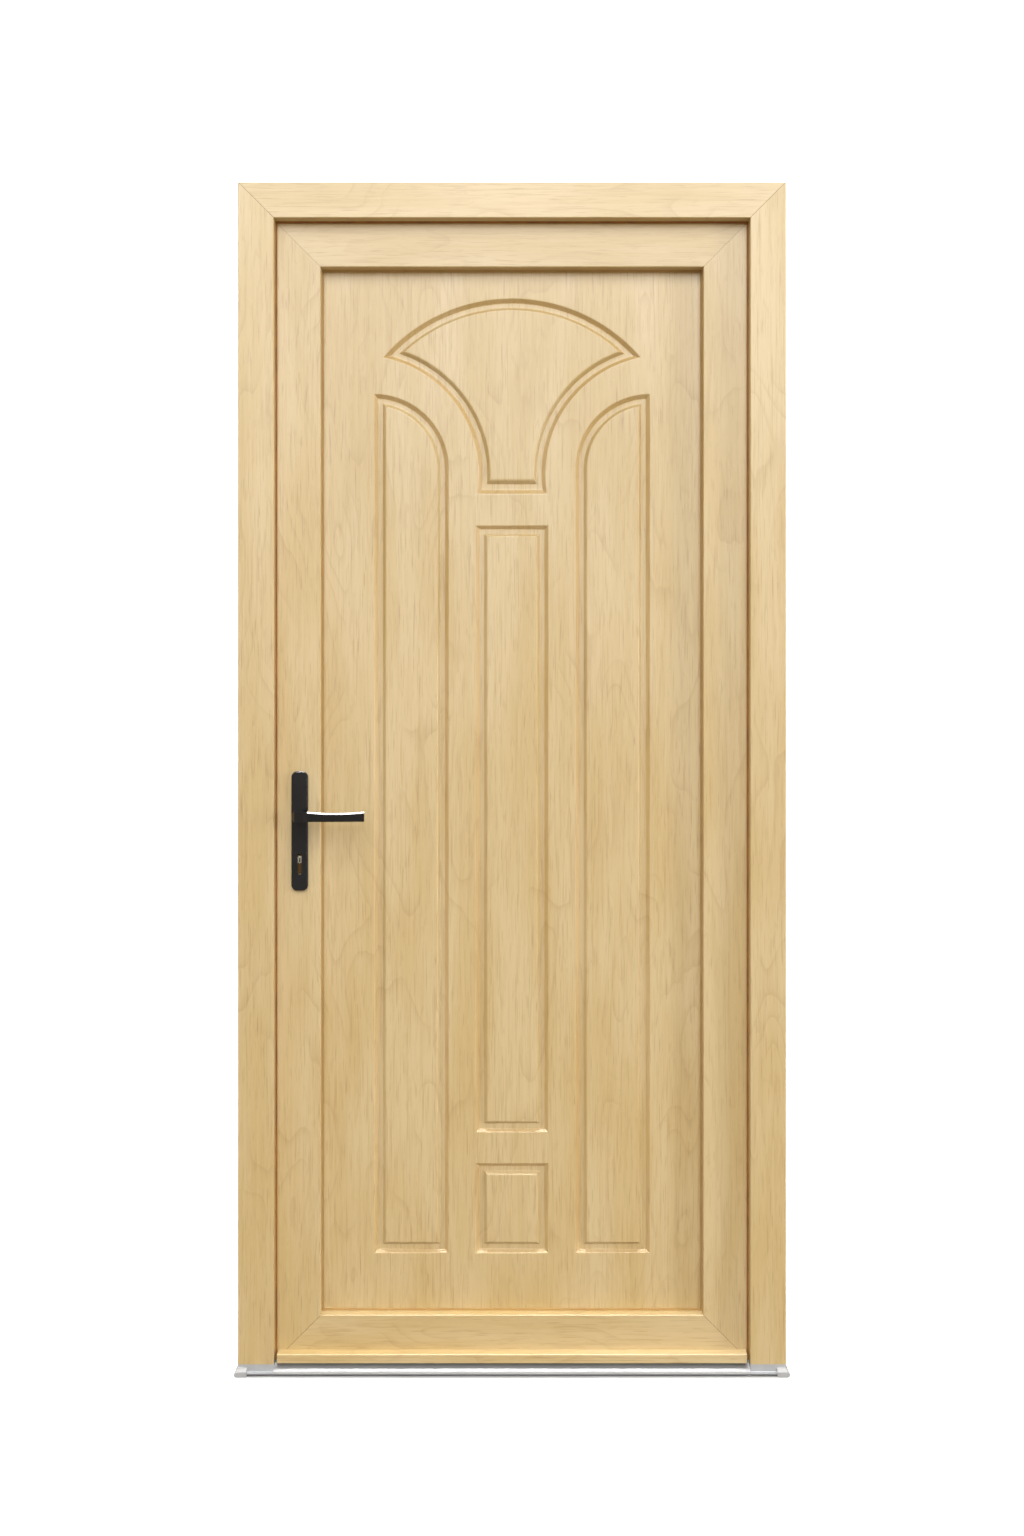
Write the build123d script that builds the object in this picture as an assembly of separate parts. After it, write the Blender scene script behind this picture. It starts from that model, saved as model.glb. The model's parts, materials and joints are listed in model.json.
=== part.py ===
from build123d import *
from math import acos, atan2, cos, degrees, radians, sin, sqrt
import os

# Panelled entrance door in its frame, closed. Millimetres, +Z up.
# The outside faces -Y, the room +Y. The origin is the middle of the threshold's underside.

# Frame, as seen from outside
FRAME_WIDTH = 980.0
FRAME_HEIGHT = 2133.0
FRAME_DEPTH = 70.0
FRAME_FACE = 64.0
LIP_HEIGHT = 20.0
LIP_DEPTH = 22.0
PROFILE_WALL = 3.0
EDGE_CHAMFER = 1.2

# Sash
SASH_DEPTH = 70.0
SASH_FACE = 89.0
SASH_AIR = 12.0
SASH_FOOT = 26.0
BOTTOM_TRIM = 16.5
OVERLAP = 20.0
SEAL_GAP = 3.0
SEAL_GROOVE = 3.0
SEAL_SHOW = 3.0
STEEL_WALL = 2.0

# Threshold
THRESHOLD_RISE = 20.0
SILL_TOP = 17.5
NOSE_REACH = 9.5
NOSE_TOP = 7.6
NOSE_LIP = 2.2
BASE_STRIP = 3.4
NOSE_RECESS = 3.5
SILL_WALL = 2.0
END_CAP = 17.0
END_TAB = 5.5

# Drip bar
DRIP_REACH = 20.0
DRIP_FOOT = 19.6
DRIP_RISE = 16.0
DRIP_END_GAP = 5.0

# Decorative panel
PANEL_THICKNESS = 28.0
PANEL_SKIN = 3.0
PACKER = 4.0
GROOVE_DEPTH = 7.0
OUTER_WALL = 8.0
GROOVE_FLOOR = 7.5
INNER_WALL = 7.0
CENTRE_HALF_WIDTH = 66.6
SIDE_INNER = 114.8
SIDE_MARGIN = 93.8
FIELD_FOOT_MARGIN = 101.9
LOWER_FIELD_RISE = 165.2
CENTRE_FIELD_GAP = 54.4
FAN_SIDE_MARGIN = 35.0
FAN_CROWN_MARGIN = 50.0
FAN_FOOT_DROP = 46.5
FAN_FOOT_SPREAD = 1.22
FAN_THROAT_HALF = 61.0
FAN_HOLLOW_OUT = 24.8
FAN_HOLLOW_DROP = 9.0
FAN_CENTRE_GAP = 55.8

# Handle set and cylinder, placed by the spindle
BACKSET = 52.0
SPINDLE_Z = 1000.0
SPINDLE_SIDE = 8.0
CYLINDER_DROP = 80.0
PLATE_WIDTH = 29.5
PLATE_LENGTH = 214.5
PLATE_CORNER = 10.0
PLATE_THICKNESS = 8.0
PLATE_WALL = 2.5
PLATE_CENTRE_DROP = 28.5
PLATE_SCREW_INSET = 10.0
LEVER_REACH = 120.0
LEVER_HEIGHT = 18.0
LEVER_WAIST = 15.5
LEVER_STAND = 46.0
LEVER_THICKNESS = 10.0
LEVER_BOW = 0.8
LEVER_TIP_DROP = 4.0
LEVER_TOP_BEVEL = 2.5
LEVER_EDGE_BEVEL = 1.2
HUB_RISE = 6.0
HUB_FACET = 5.0
HUB_CORNER = 5.0
NECK_WIDTH = 15.0
NECK_SWEEP = 12.0
COLLAR_RADIUS = 9.0
KEYHOLE_WIDTH = 7.0
KEYHOLE_LENGTH = 39.0
EURO_RADIUS = 8.5
EURO_HEIGHT = 33.0
EURO_TAIL = 10.0
PLUG_RADIUS = 6.45
CAM_WIDTH = 9.8
CAM_RADIUS = 12.0

# Lock
LOCK_FROM_OVERLAP = 12.5
FACEPLATE_WIDTH = 20.0
FACEPLATE_THICKNESS = 3.0
FACEPLATE_END = 70.0
BAR_WIDTH = 18.0
BAR_THICKNESS = 2.4
BAR_END = 130.0
BAR_TRAVEL = 18.0
CASE_WIDTH = 16.0
CASE_WALL = 1.5
CASE_ABOVE = 45.0
CASE_BELOW = 114.0
BOLT_WIDTH = 12.0
LATCH_RISE = 10.0
LATCH_HEIGHT = 20.0
DEADBOLT_DROP = 56.0
DEADBOLT_HEIGHT = 24.0
DEADBOLT_THROW = 20.0
FOLLOWER_RADIUS = 8.5
FOLLOWER_ARM = 14.0
FOLLOWER_SWING = 40.0
STUD_RADIUS = 5.0
STUD_NECK = 3.0
KEEPER_THICKNESS = 8.0
KEEPER_LENGTH = 60.0
STUD_FROM_HEAD = 297.0
STUD_FROM_FOOT = 294.0
FACEPLATE_SCREW_OFFSETS = (-460.0, -160.0, 90.0, 420.0)
FACEPLATE_END_SCREW = 15.0

# Hinges
HINGE_FROM_FOOT = 204.0
HINGE_FROM_HEAD = 187.0
MIDDLE_HINGE_ABOVE = 30.0
HINGE_LENGTH = 100.0
BARREL_RADIUS = 8.0
PIN_RADIUS = 4.0
PIVOT_OUT = 6.0
LEAF_THICKNESS = 5.0
LEAF_WIDTH = 28.0
SASH_LEAF_WIDTH = 44.0

# Fixings
SCREW_RADIUS = 2.2
SCREW_HEAD = 4.2
SCREW_LENGTH = 25.0
THROUGH_SCREW = 2.5
WALL_FIXING_RADIUS = 4.0
WALL_FIXING_END = 260.0
WALL_FIXING_SPACING = 520.0

# Clearances
RUNNING = 0.06
MOVING = 0.3
SOFT_CONTACT = 0.3

# Planes and lines that everything shares
HALF_WIDTH = FRAME_WIDTH / 2
FACE_Y = -FRAME_DEPTH / 2
ROOM_Y = FRAME_DEPTH / 2
LIP_BACK_Y = FACE_Y + LIP_DEPTH
REBATE = FRAME_FACE - LIP_HEIGHT
SASH_Y = LIP_BACK_Y + SEAL_GAP
SASH_ROOM_Y = SASH_Y + SASH_DEPTH
SASH_HALF = HALF_WIDTH - REBATE - SASH_AIR
SASH_HEAD = FRAME_HEIGHT - REBATE - SASH_AIR
SASH_REBATE = SASH_FACE - LIP_HEIGHT
FOOT_LINE = SASH_FOOT - BOTTOM_TRIM
OVERLAP_FRONT = ROOM_Y + SEAL_GAP - SASH_Y
OVERLAP_Y = SASH_Y + OVERLAP_FRONT
PANEL_Y = SASH_Y + LIP_DEPTH + SEAL_GAP
PANEL_ROOM_Y = PANEL_Y + PANEL_THICKNESS
PANEL_HALF = SASH_HALF - SASH_REBATE - PACKER
PANEL_FOOT = FOOT_LINE + SASH_REBATE + PACKER
PANEL_HEAD = SASH_HEAD - SASH_REBATE - PACKER
GROOVE_WIDTH = OUTER_WALL + GROOVE_FLOOR + INNER_WALL
CLEAR_HALF = SASH_HALF - SASH_FACE
CLEAR_FOOT = FOOT_LINE + SASH_FACE
CLEAR_HEAD = SASH_HEAD - SASH_FACE
SIDE_OUTER = CLEAR_HALF - SIDE_MARGIN
LOWER_FIELD_FOOT = CLEAR_FOOT + FIELD_FOOT_MARGIN
LOWER_FIELD_HEAD = LOWER_FIELD_FOOT + LOWER_FIELD_RISE
FAN_RADIUS = CLEAR_HALF - FAN_SIDE_MARGIN
FAN_SPRING = CLEAR_HEAD - FAN_CROWN_MARGIN - FAN_RADIUS
FAN_FOOT = FAN_SPRING - FAN_FOOT_DROP
FAN_SIDE_X = SIDE_OUTER + FAN_HOLLOW_OUT
FAN_SIDE_Z = FAN_SPRING - FAN_HOLLOW_DROP
FAN_SIDE_RADIUS = FAN_SIDE_X - FAN_THROAT_HALF
CENTRE_FOOT = LOWER_FIELD_HEAD + CENTRE_FIELD_GAP
CENTRE_HEAD = FAN_FOOT - FAN_CENTRE_GAP
LOCK_AXIS = OVERLAP_FRONT - LOCK_FROM_OVERLAP
LOCK_Y = SASH_Y + LOCK_AXIS
LOCK_EDGE_X = -SASH_HALF
REBATE_X = -HALF_WIDTH + REBATE
SPINDLE_X = LOCK_EDGE_X + BACKSET
UPPER_STUD_Z = SASH_HEAD - STUD_FROM_HEAD
LOWER_STUD_Z = SASH_FOOT + STUD_FROM_FOOT
FACEPLATE_BACK_X = LOCK_EDGE_X + FACEPLATE_THICKNESS
BAR_GROOVE = FACEPLATE_THICKNESS + BAR_THICKNESS + 2 * MOVING
CASE_FRONT_X = LOCK_EDGE_X + BAR_GROOVE
MAIN_CHAMBER_START = BAR_GROOVE + PROFILE_WALL
CASE_BACK_X = LOCK_EDGE_X + SASH_REBATE - PROFILE_WALL
CASE_HEAD = SPINDLE_Z + CASE_ABOVE
CASE_FOOT = SPINDLE_Z - CASE_BELOW
CYLINDER_Z = SPINDLE_Z - CYLINDER_DROP
PLATE_Z = SPINDLE_Z - PLATE_CENTRE_DROP
PLATE_FRONT_Y = SASH_Y - PLATE_THICKNESS
PIVOT_X = SASH_HALF + OVERLAP + PIVOT_OUT
PIVOT_Y = SASH_ROOM_Y + BARREL_RADIUS
HINGE_HEIGHTS = {
    "lower": SASH_FOOT + HINGE_FROM_FOOT,
    "middle": (SASH_FOOT + SASH_HEAD) / 2 + MIDDLE_HINGE_ABOVE,
    "upper": SASH_HEAD - HINGE_FROM_HEAD,
}
WALL_FIXING_HEIGHTS = (
    WALL_FIXING_END,
    WALL_FIXING_END + WALL_FIXING_SPACING,
    FRAME_HEIGHT - WALL_FIXING_END - WALL_FIXING_SPACING,
    FRAME_HEIGHT - WALL_FIXING_END,
)
LATCH_THROW = 2 * FOLLOWER_ARM * sin(radians(FOLLOWER_SWING / 2))


def save(name, *solids):
    shape = solids[0] if len(solids) == 1 else Compound(children=list(solids))
    export_step(shape, f"parts/{name}.step")


def block(x, y, z):
    """A box between two limits on each axis."""
    size = [abs(pair[1] - pair[0]) for pair in (x, y, z)]
    middle = [(pair[0] + pair[1]) / 2 for pair in (x, y, z)]
    return Pos(*middle) * Box(*size)


def rod_y(x, z, radius, y0, y1):
    return Plane((x, y0, z), x_dir=(1, 0, 0), z_dir=(0, 1, 0)) * Cylinder(
        radius, y1 - y0, align=(Align.CENTER, Align.CENTER, Align.MIN)
    )


def rod_x(y, z, radius, x0, x1):
    return Plane((x0, y, z), x_dir=(0, 1, 0), z_dir=(1, 0, 0)) * Cylinder(
        radius, x1 - x0, align=(Align.CENTER, Align.CENTER, Align.MIN)
    )


def rod_z(x, y, radius, z0, z1):
    return Pos(x, y, z0) * Cylinder(radius, z1 - z0, align=(Align.CENTER, Align.CENTER, Align.MIN))


def along_y(sketch, y0, y1):
    """A sketch drawn in X and Z, given thickness from y0 to y1."""
    return Pos(0, y1, 0) * extrude(Plane.XZ * sketch, amount=y1 - y0)


def outline(points):
    return make_face(Polyline(*points, close=True))


def window(u0, u1, v0, v1):
    return Pos((u0 + u1) / 2, (v0 + v1) / 2) * Rectangle(u1 - u0, v1 - v0)


# Extruded members, mitred where they meet

def member(section, corner, along, across, length, mitres=(True, True)):
    """One length of a section, whose outer edge runs from corner along a direction."""
    start = Vector(*corner)
    run = Vector(*along)
    inward = Vector(*across)
    spare = SASH_FACE + OVERLAP
    first = start - run * spare if mitres[0] else start
    last = start + run * (length + spare) if mitres[1] else start + run * length
    bar = extrude(Plane(first, x_dir=inward, z_dir=run) * section, amount=(last - first).length)
    if mitres[0]:
        bar = split(bar, bisect_by=Plane(start, z_dir=run - inward), keep=Keep.TOP)
    if mitres[1]:
        bar = split(bar, bisect_by=Plane(start + run * length, z_dir=-run - inward), keep=Keep.TOP)
    return bar.solids()[0]


def ring(section, half, foot, head, front_y):
    """The four mitred members round an opening: left, top, right and bottom."""
    width = 2 * half
    rise = head - foot
    return (
        member(section, (-half, front_y, foot), (0, 0, 1), (1, 0, 0), rise),
        member(section, (-half, front_y, head), (1, 0, 0), (0, 0, -1), width),
        member(section, (half, front_y, head), (0, 0, -1), (-1, 0, 0), rise),
        member(section, (half, front_y, foot), (-1, 0, 0), (0, 0, 1), width),
    )


def arch(section, front_y, foot):
    """The three members of a frame that stands on a threshold: left, head and right."""
    rise = FRAME_HEIGHT - foot
    left = member(
        section, (-HALF_WIDTH, front_y, foot), (0, 0, 1), (1, 0, 0), rise, (False, True)
    )
    head = member(section, (-HALF_WIDTH, front_y, FRAME_HEIGHT), (1, 0, 0), (0, 0, -1), FRAME_WIDTH)
    right = member(
        section, (HALF_WIDTH, front_y, FRAME_HEIGHT), (0, 0, -1), (-1, 0, 0), rise, (True, False)
    )
    return left, head, right


# Frame section: u runs inwards from the wall, v from the outside face to the room

FRONT_CHAMBER_END = LIP_DEPTH - 2 * PROFILE_WALL
MAIN_CHAMBER_V = LIP_DEPTH + 2.0
SEAL_NEAR = 5.0
SEAL_FAR = SEAL_NEAR + SEAL_GROOVE


def frame_section():
    face = FRAME_FACE
    c = EDGE_CHAMFER
    shape = outline([
        (0, c), (c, 0), (face - c, 0), (face, c), (face, LIP_DEPTH),
        (face - SEAL_NEAR, LIP_DEPTH), (face - SEAL_NEAR, LIP_DEPTH - SEAL_GROOVE),
        (face - SEAL_FAR, LIP_DEPTH - SEAL_GROOVE), (face - SEAL_FAR, LIP_DEPTH),
        (REBATE, LIP_DEPTH), (REBATE, FRAME_DEPTH - c), (REBATE - c, FRAME_DEPTH), (0, FRAME_DEPTH),
    ])
    w = PROFILE_WALL
    middle = face / 2
    shape -= window(w, middle - w / 2, w, FRONT_CHAMBER_END)
    shape -= window(middle + w / 2, face - w, w, FRONT_CHAMBER_END)
    shape -= window(w, REBATE - w, MAIN_CHAMBER_V, FRAME_DEPTH - w)
    return shape


def frame_steel_section():
    w = PROFILE_WALL
    outside = window(w, REBATE - w, MAIN_CHAMBER_V, FRAME_DEPTH - w)
    t = STEEL_WALL
    return outside - window(w + t, REBATE - w - t, MAIN_CHAMBER_V + t, FRAME_DEPTH - w - t)


def frame_gasket_section():
    foot = window(FRAME_FACE - SEAL_FAR, FRAME_FACE - SEAL_NEAR, LIP_DEPTH - SEAL_GROOVE, LIP_DEPTH)
    head = window(
        FRAME_FACE - SEAL_FAR, FRAME_FACE + SEAL_SHOW, LIP_DEPTH, LIP_DEPTH + SEAL_GAP - SOFT_CONTACT
    )
    return foot + head


# Sash section: s runs inwards from the rebate edge, v from the outside face to the room.
# The foot of the finished sash is sawn off, so the bottom rail's section starts further in.

SASH_CHAMBER_V = 20.0
OVERLAP_SEAL_NEAR = 14.5
OVERLAP_SEAL_FAR = OVERLAP_SEAL_NEAR + SEAL_GROOVE


def hardware_groove():
    """The stepped groove that takes the faceplate and the bar behind it."""
    plate = window(0, FACEPLATE_THICKNESS, LOCK_AXIS - FACEPLATE_WIDTH / 2, LOCK_AXIS + FACEPLATE_WIDTH / 2)
    half = BAR_WIDTH / 2 + MOVING
    return plate + window(0, BAR_GROOVE, LOCK_AXIS - half, LOCK_AXIS + half)


def sash_section(edge, chamber_start):
    """The section from its rebate edge inwards, without the hardware groove."""
    face = SASH_FACE
    c = EDGE_CHAMFER
    lip = edge - OVERLAP
    far = edge - OVERLAP_SEAL_FAR
    near = edge - OVERLAP_SEAL_NEAR
    shape = outline([
        (edge, 0), (face - c, 0), (face, c), (face, LIP_DEPTH),
        (face - SEAL_NEAR, LIP_DEPTH), (face - SEAL_NEAR, LIP_DEPTH - SEAL_GROOVE),
        (face - SEAL_FAR, LIP_DEPTH - SEAL_GROOVE), (face - SEAL_FAR, LIP_DEPTH),
        (SASH_REBATE, LIP_DEPTH), (SASH_REBATE, SASH_DEPTH),
        (lip + c, SASH_DEPTH), (lip, SASH_DEPTH - c), (lip, OVERLAP_FRONT),
        (far, OVERLAP_FRONT), (far, OVERLAP_FRONT + SEAL_GROOVE),
        (near, OVERLAP_FRONT + SEAL_GROOVE), (near, OVERLAP_FRONT), (edge, OVERLAP_FRONT),
    ])
    w = PROFILE_WALL
    middle = face / 2
    shape -= window(edge + w, middle - w / 2, w, FRONT_CHAMBER_END)
    shape -= window(middle + w / 2, face - w, w, FRONT_CHAMBER_END)
    shape -= window(chamber_start, SASH_REBATE - w, SASH_CHAMBER_V, SASH_DEPTH - w)
    shape -= window(
        lip + w, chamber_start - w, OVERLAP_FRONT + SEAL_GROOVE + w, SASH_DEPTH - w
    )
    return shape


def sash_steel_section(start):
    w = PROFILE_WALL
    t = STEEL_WALL
    outside = window(start, SASH_REBATE - w, SASH_CHAMBER_V, SASH_DEPTH - w)
    return outside - window(
        start + t, SASH_REBATE - w - t, SASH_CHAMBER_V + t, SASH_DEPTH - w - t
    )


def sash_gasket_section():
    foot = window(
        -OVERLAP_SEAL_FAR, -OVERLAP_SEAL_NEAR, OVERLAP_FRONT, OVERLAP_FRONT + SEAL_GROOVE
    )
    head = window(
        -OVERLAP_SEAL_FAR, -OVERLAP_SEAL_NEAR + 1, OVERLAP_FRONT - SEAL_GAP + SOFT_CONTACT, OVERLAP_FRONT
    )
    return foot + head


def panel_gasket_section():
    foot = window(SASH_FACE - SEAL_FAR, SASH_FACE - SEAL_NEAR, LIP_DEPTH - SEAL_GROOVE, LIP_DEPTH)
    head = window(SASH_FACE - SEAL_FAR, SASH_FACE + SEAL_SHOW, LIP_DEPTH, LIP_DEPTH + SEAL_GAP)
    return foot + head


def bead_section():
    """Drawn from the sash's rebate floor inwards and from the panel's room face."""
    depth = SASH_ROOM_Y - PANEL_ROOM_Y
    reach = LIP_HEIGHT + SEAL_SHOW
    return outline([
        (0, 0), (reach, 0), (reach, depth / 3), (reach - depth / 2, depth), (0, depth)
    ]) - window(PROFILE_WALL, reach - depth / 2 - PROFILE_WALL, PROFILE_WALL, depth - PROFILE_WALL)


# Moulded panel. An outline is given for the groove's edge, stepped inwards by an offset.

def box_field(left, right, foot, head):
    def at(offset):
        return outline([
            (left + offset, foot + offset), (right - offset, foot + offset),
            (right - offset, head - offset), (left + offset, head - offset),
        ])
    return at


def arched_field(side):
    """A tall field with a square corner outside and a quarter round falling to the middle."""
    radius = SIDE_OUTER - SIDE_INNER

    def at(offset):
        outer = side * (SIDE_OUTER - offset)
        inner = side * (SIDE_INNER + offset)
        foot = LOWER_FIELD_FOOT + offset
        turn = radius - offset
        centre = side * SIDE_OUTER
        crown = FAN_SPRING + sqrt(turn ** 2 - offset ** 2)
        half = acos(offset / turn) / 2
        middle = (centre - side * turn * cos(half), FAN_SPRING + turn * sin(half))
        edges = [
            Line((outer, foot), (inner, foot)),
            Line((inner, foot), (inner, FAN_SPRING)),
            ThreePointArc((inner, FAN_SPRING), middle, (outer, crown)),
            Line((outer, crown), (outer, foot)),
        ]
        return make_face(Wire(edges))
    return at


def circle_meet(x0, z0, r0, x1, z1, r1):
    """Where two circles cross, the point with the larger z."""
    gap = sqrt((x1 - x0) ** 2 + (z1 - z0) ** 2)
    along = (r0 ** 2 - r1 ** 2 + gap ** 2) / (2 * gap)
    aside = sqrt(r0 ** 2 - along ** 2)
    ux = (x1 - x0) / gap
    uz = (z1 - z0) / gap
    points = [(x0 + along * ux + s * aside * uz, z0 + along * uz - s * aside * ux) for s in (-1, 1)]
    return max(points, key=lambda point: point[1])


def fan_field(offset):
    """A fan: a round crown, two hollow sides and a short level foot."""
    crown = FAN_RADIUS - offset
    hollow = FAN_SIDE_RADIUS + offset
    foot = FAN_FOOT + FAN_FOOT_SPREAD * offset
    tip = circle_meet(0, FAN_SPRING, crown, FAN_SIDE_X, FAN_SIDE_Z, hollow)
    heel = (FAN_SIDE_X - sqrt(hollow ** 2 - (foot - FAN_SIDE_Z) ** 2), foot)
    a = atan2(tip[1] - FAN_SIDE_Z, tip[0] - FAN_SIDE_X)
    b = atan2(heel[1] - FAN_SIDE_Z, heel[0] - FAN_SIDE_X) % radians(360)
    middle = (FAN_SIDE_X + hollow * cos((a + b) / 2), FAN_SIDE_Z + hollow * sin((a + b) / 2))
    edges = [
        Line((-heel[0], foot), heel),
        ThreePointArc(heel, middle, tip),
        ThreePointArc(tip, (0, FAN_SPRING + crown), (-tip[0], tip[1])),
        ThreePointArc((-tip[0], tip[1]), (-middle[0], middle[1]), (-heel[0], foot)),
    ]
    return make_face(Wire(edges))


FIELDS = (
    fan_field,
    arched_field(-1),
    arched_field(1),
    box_field(-CENTRE_HALF_WIDTH, CENTRE_HALF_WIDTH, CENTRE_FOOT, CENTRE_HEAD),
    box_field(-CENTRE_HALF_WIDTH, CENTRE_HALF_WIDTH, LOWER_FIELD_FOOT, LOWER_FIELD_HEAD),
)


def slope(field, offset_front, offset_back, front_y, back_y):
    """The solid between a field's outline at one depth and its outline at another."""
    front = Pos(0, front_y, 0) * (Plane.XZ * field(offset_front))
    back = Pos(0, back_y, 0) * (Plane.XZ * field(offset_back))
    return loft([front.face(), back.face()], ruled=True)


def groove(field, front_y, depth, grow=0.0):
    """The groove round one field: a sloped wall down, a flat floor and a sloped wall up."""
    floor_y = front_y + depth
    basin = slope(field, -grow, OUTER_WALL - grow, front_y, floor_y)
    island = slope(field, GROOVE_WIDTH + grow, GROOVE_WIDTH - INNER_WALL + grow, front_y, floor_y)
    return basin - island


def grooves(front_y, depth, grow=0.0):
    return [groove(field, front_y, depth, grow) for field in FIELDS]


def panel():
    skin_back = PANEL_Y + PANEL_SKIN
    core_back = PANEL_ROOM_Y - PANEL_SKIN
    width = (-PANEL_HALF, PANEL_HALF)
    height = (PANEL_FOOT, PANEL_HEAD)
    skin = block(width, (PANEL_Y, skin_back), height)
    core = block(width, (skin_back, core_back), height)
    backs = grooves(PANEL_Y, GROOVE_DEPTH + PANEL_SKIN, PANEL_SKIN / 2)
    core -= backs
    skin += backs
    skin -= grooves(PANEL_Y, GROOVE_DEPTH)
    save("panel_skin_outer", skin)
    save("panel_core", core)
    save("panel_skin_inner", block(width, (core_back, PANEL_ROOM_Y), height))


def packers():
    """Hard plastic blocks that centre the panel in the sash."""
    length = 100.0
    inset = 90.0
    depth = (PANEL_Y + 1, PANEL_ROOM_Y - 1)
    blocks = []
    for x in (-PANEL_HALF + inset, PANEL_HALF - inset):
        span = (x - length / 2, x + length / 2)
        blocks.append(block(span, depth, (PANEL_FOOT - PACKER, PANEL_FOOT)))
        blocks.append(block(span, depth, (PANEL_HEAD, PANEL_HEAD + PACKER)))
    for z in (PANEL_FOOT + inset, (PANEL_FOOT + PANEL_HEAD) / 2, PANEL_HEAD - inset):
        span = (z - length / 2, z + length / 2)
        blocks.append(block((-PANEL_HALF - PACKER, -PANEL_HALF), depth, span))
        blocks.append(block((PANEL_HALF, PANEL_HALF + PACKER), depth, span))
    save("panel_packers", *blocks)


# Threshold

SLOPE_END_Y = LIP_BACK_Y - 1.0
BREAK_Y = SASH_Y + 8.0


def sill_top():
    """The outside half of the threshold: nose, recess, slope and flat, in Y and Z."""
    nose_y = FACE_Y - NOSE_REACH
    recess_y = nose_y + NOSE_RECESS
    return [
        (nose_y, 0), (nose_y, BASE_STRIP), (recess_y, BASE_STRIP),
        (recess_y, NOSE_TOP - NOSE_LIP), (nose_y, NOSE_TOP - NOSE_LIP), (nose_y, NOSE_TOP),
        (FACE_Y, NOSE_TOP), (SLOPE_END_Y, SILL_TOP),
    ]


def along_x(sketch, x0, x1):
    """A sketch drawn in Y and Z, given length from x0 to x1."""
    return extrude(Plane((x0, 0, 0), x_dir=(0, 1, 0), z_dir=(1, 0, 0)) * sketch, amount=x1 - x0)


def threshold():
    reach = HALF_WIDTH - END_CAP
    w = SILL_WALL
    sill = outline([*sill_top(), (BREAK_Y, SILL_TOP), (BREAK_Y, 0)])
    rib = SLOPE_END_Y - 2 * w
    rise = (SILL_TOP - NOSE_TOP) / (SLOPE_END_Y - FACE_Y)
    low = FACE_Y + 2 * w
    sill -= outline([
        (low, w), (low, NOSE_TOP + rise * (low - FACE_Y) - 1.5 * w),
        (rib, NOSE_TOP + rise * (rib - FACE_Y) - 1.5 * w), (rib, w),
    ])
    sill -= window(rib + w, BREAK_Y - w, w, NOSE_TOP + rise * (rib + w - FACE_Y) - 1.5 * w)
    save("threshold_sill", along_x(sill, -reach, reach))
    inner = window(BREAK_Y, ROOM_Y, 0, SILL_TOP)
    middle = (BREAK_Y + ROOM_Y) / 2
    inner -= window(BREAK_Y + w, middle - w / 2, w, SILL_TOP - w)
    inner -= window(middle + w / 2, ROOM_Y - w, w, SILL_TOP - w)
    save("threshold_inner", along_x(inner, -reach, reach))
    for name, side in (("left", -1), ("right", 1)):
        end = end_piece()
        if side < 0:
            end = mirror(end, about=Plane.YZ)
        save(f"threshold_end_{name}", end)


def end_piece():
    """The grey moulding under the right jamb, which also caps the threshold's end."""
    foot = along_x(
        window(FACE_Y, ROOM_Y, 0, THRESHOLD_RISE), HALF_WIDTH - FRAME_FACE, HALF_WIDTH
    )
    rebate_floor = HALF_WIDTH - REBATE
    foot -= block(
        (HALF_WIDTH - FRAME_FACE, rebate_floor), (LIP_BACK_Y, ROOM_Y), (0, THRESHOLD_RISE)
    )
    under = outline([*sill_top(), (BREAK_Y, SILL_TOP), (ROOM_Y, SILL_TOP), (ROOM_Y, 0)])
    foot -= along_x(under, HALF_WIDTH - FRAME_FACE, HALF_WIDTH - END_CAP)
    nose_y = FACE_Y - NOSE_REACH - 1.0
    cap = block((HALF_WIDTH - END_CAP, HALF_WIDTH), (nose_y, FACE_Y), (0, THRESHOLD_RISE - 6))
    cap = chamfer(cap.edges().filter_by(Axis.X).group_by(Axis.Y)[0].sort_by(Axis.Z)[-1], 4.0)
    tab_height = 10.0
    tab = Pos(HALF_WIDTH, 0, tab_height / 2) * scale(
        rod_y(0, 0, 1.0, nose_y, LIP_BACK_Y), by=(END_TAB, 1, tab_height / 2)
    )
    return (foot + cap + tab).solids()[0]


def drip_bar():
    """A hollow bar clipped to the foot of the sash, with a sloped top."""
    front_y = SASH_Y - DRIP_REACH
    head = DRIP_FOOT + DRIP_RISE
    fall = 1.0
    c = EDGE_CHAMFER
    w = PROFILE_WALL
    section = outline([
        (SASH_Y, SASH_FOOT), (SASH_Y, head + fall), (front_y + c, head), (front_y, head - c),
        (front_y, DRIP_FOOT), (front_y + 2 * w, DRIP_FOOT), (front_y + 3 * w, SASH_FOOT),
    ])
    section -= window(front_y + 3 * w, SASH_Y - w, SASH_FOOT + 2, head - w)
    half = HALF_WIDTH - FRAME_FACE - DRIP_END_GAP
    save("drip_bar", along_x(section, -half, half))


# Handle set, cylinder and what they cut in the sash

def euro(radius, tail, height):
    """The profile of a lock cylinder: a round head over a straight tail with a round foot."""
    foot = radius - height + tail / 2
    shape = Pos(SPINDLE_X, CYLINDER_Z) * Circle(radius)
    shape += Pos(SPINDLE_X, CYLINDER_Z + foot / 2) * Rectangle(tail, -foot)
    shape += Pos(SPINDLE_X, CYLINDER_Z + foot) * Circle(tail / 2)
    return shape


def plate_screw_heights():
    reach = PLATE_LENGTH / 2 - PLATE_SCREW_INSET
    return PLATE_Z + reach, PLATE_Z - reach


CYLINDER_OUT_Y = PLATE_FRONT_Y + PLATE_WALL + MOVING
CYLINDER_ROOM_Y = SASH_ROOM_Y + PLATE_THICKNESS + 2.0
LEVER_SOCKET = 22.0


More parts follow.
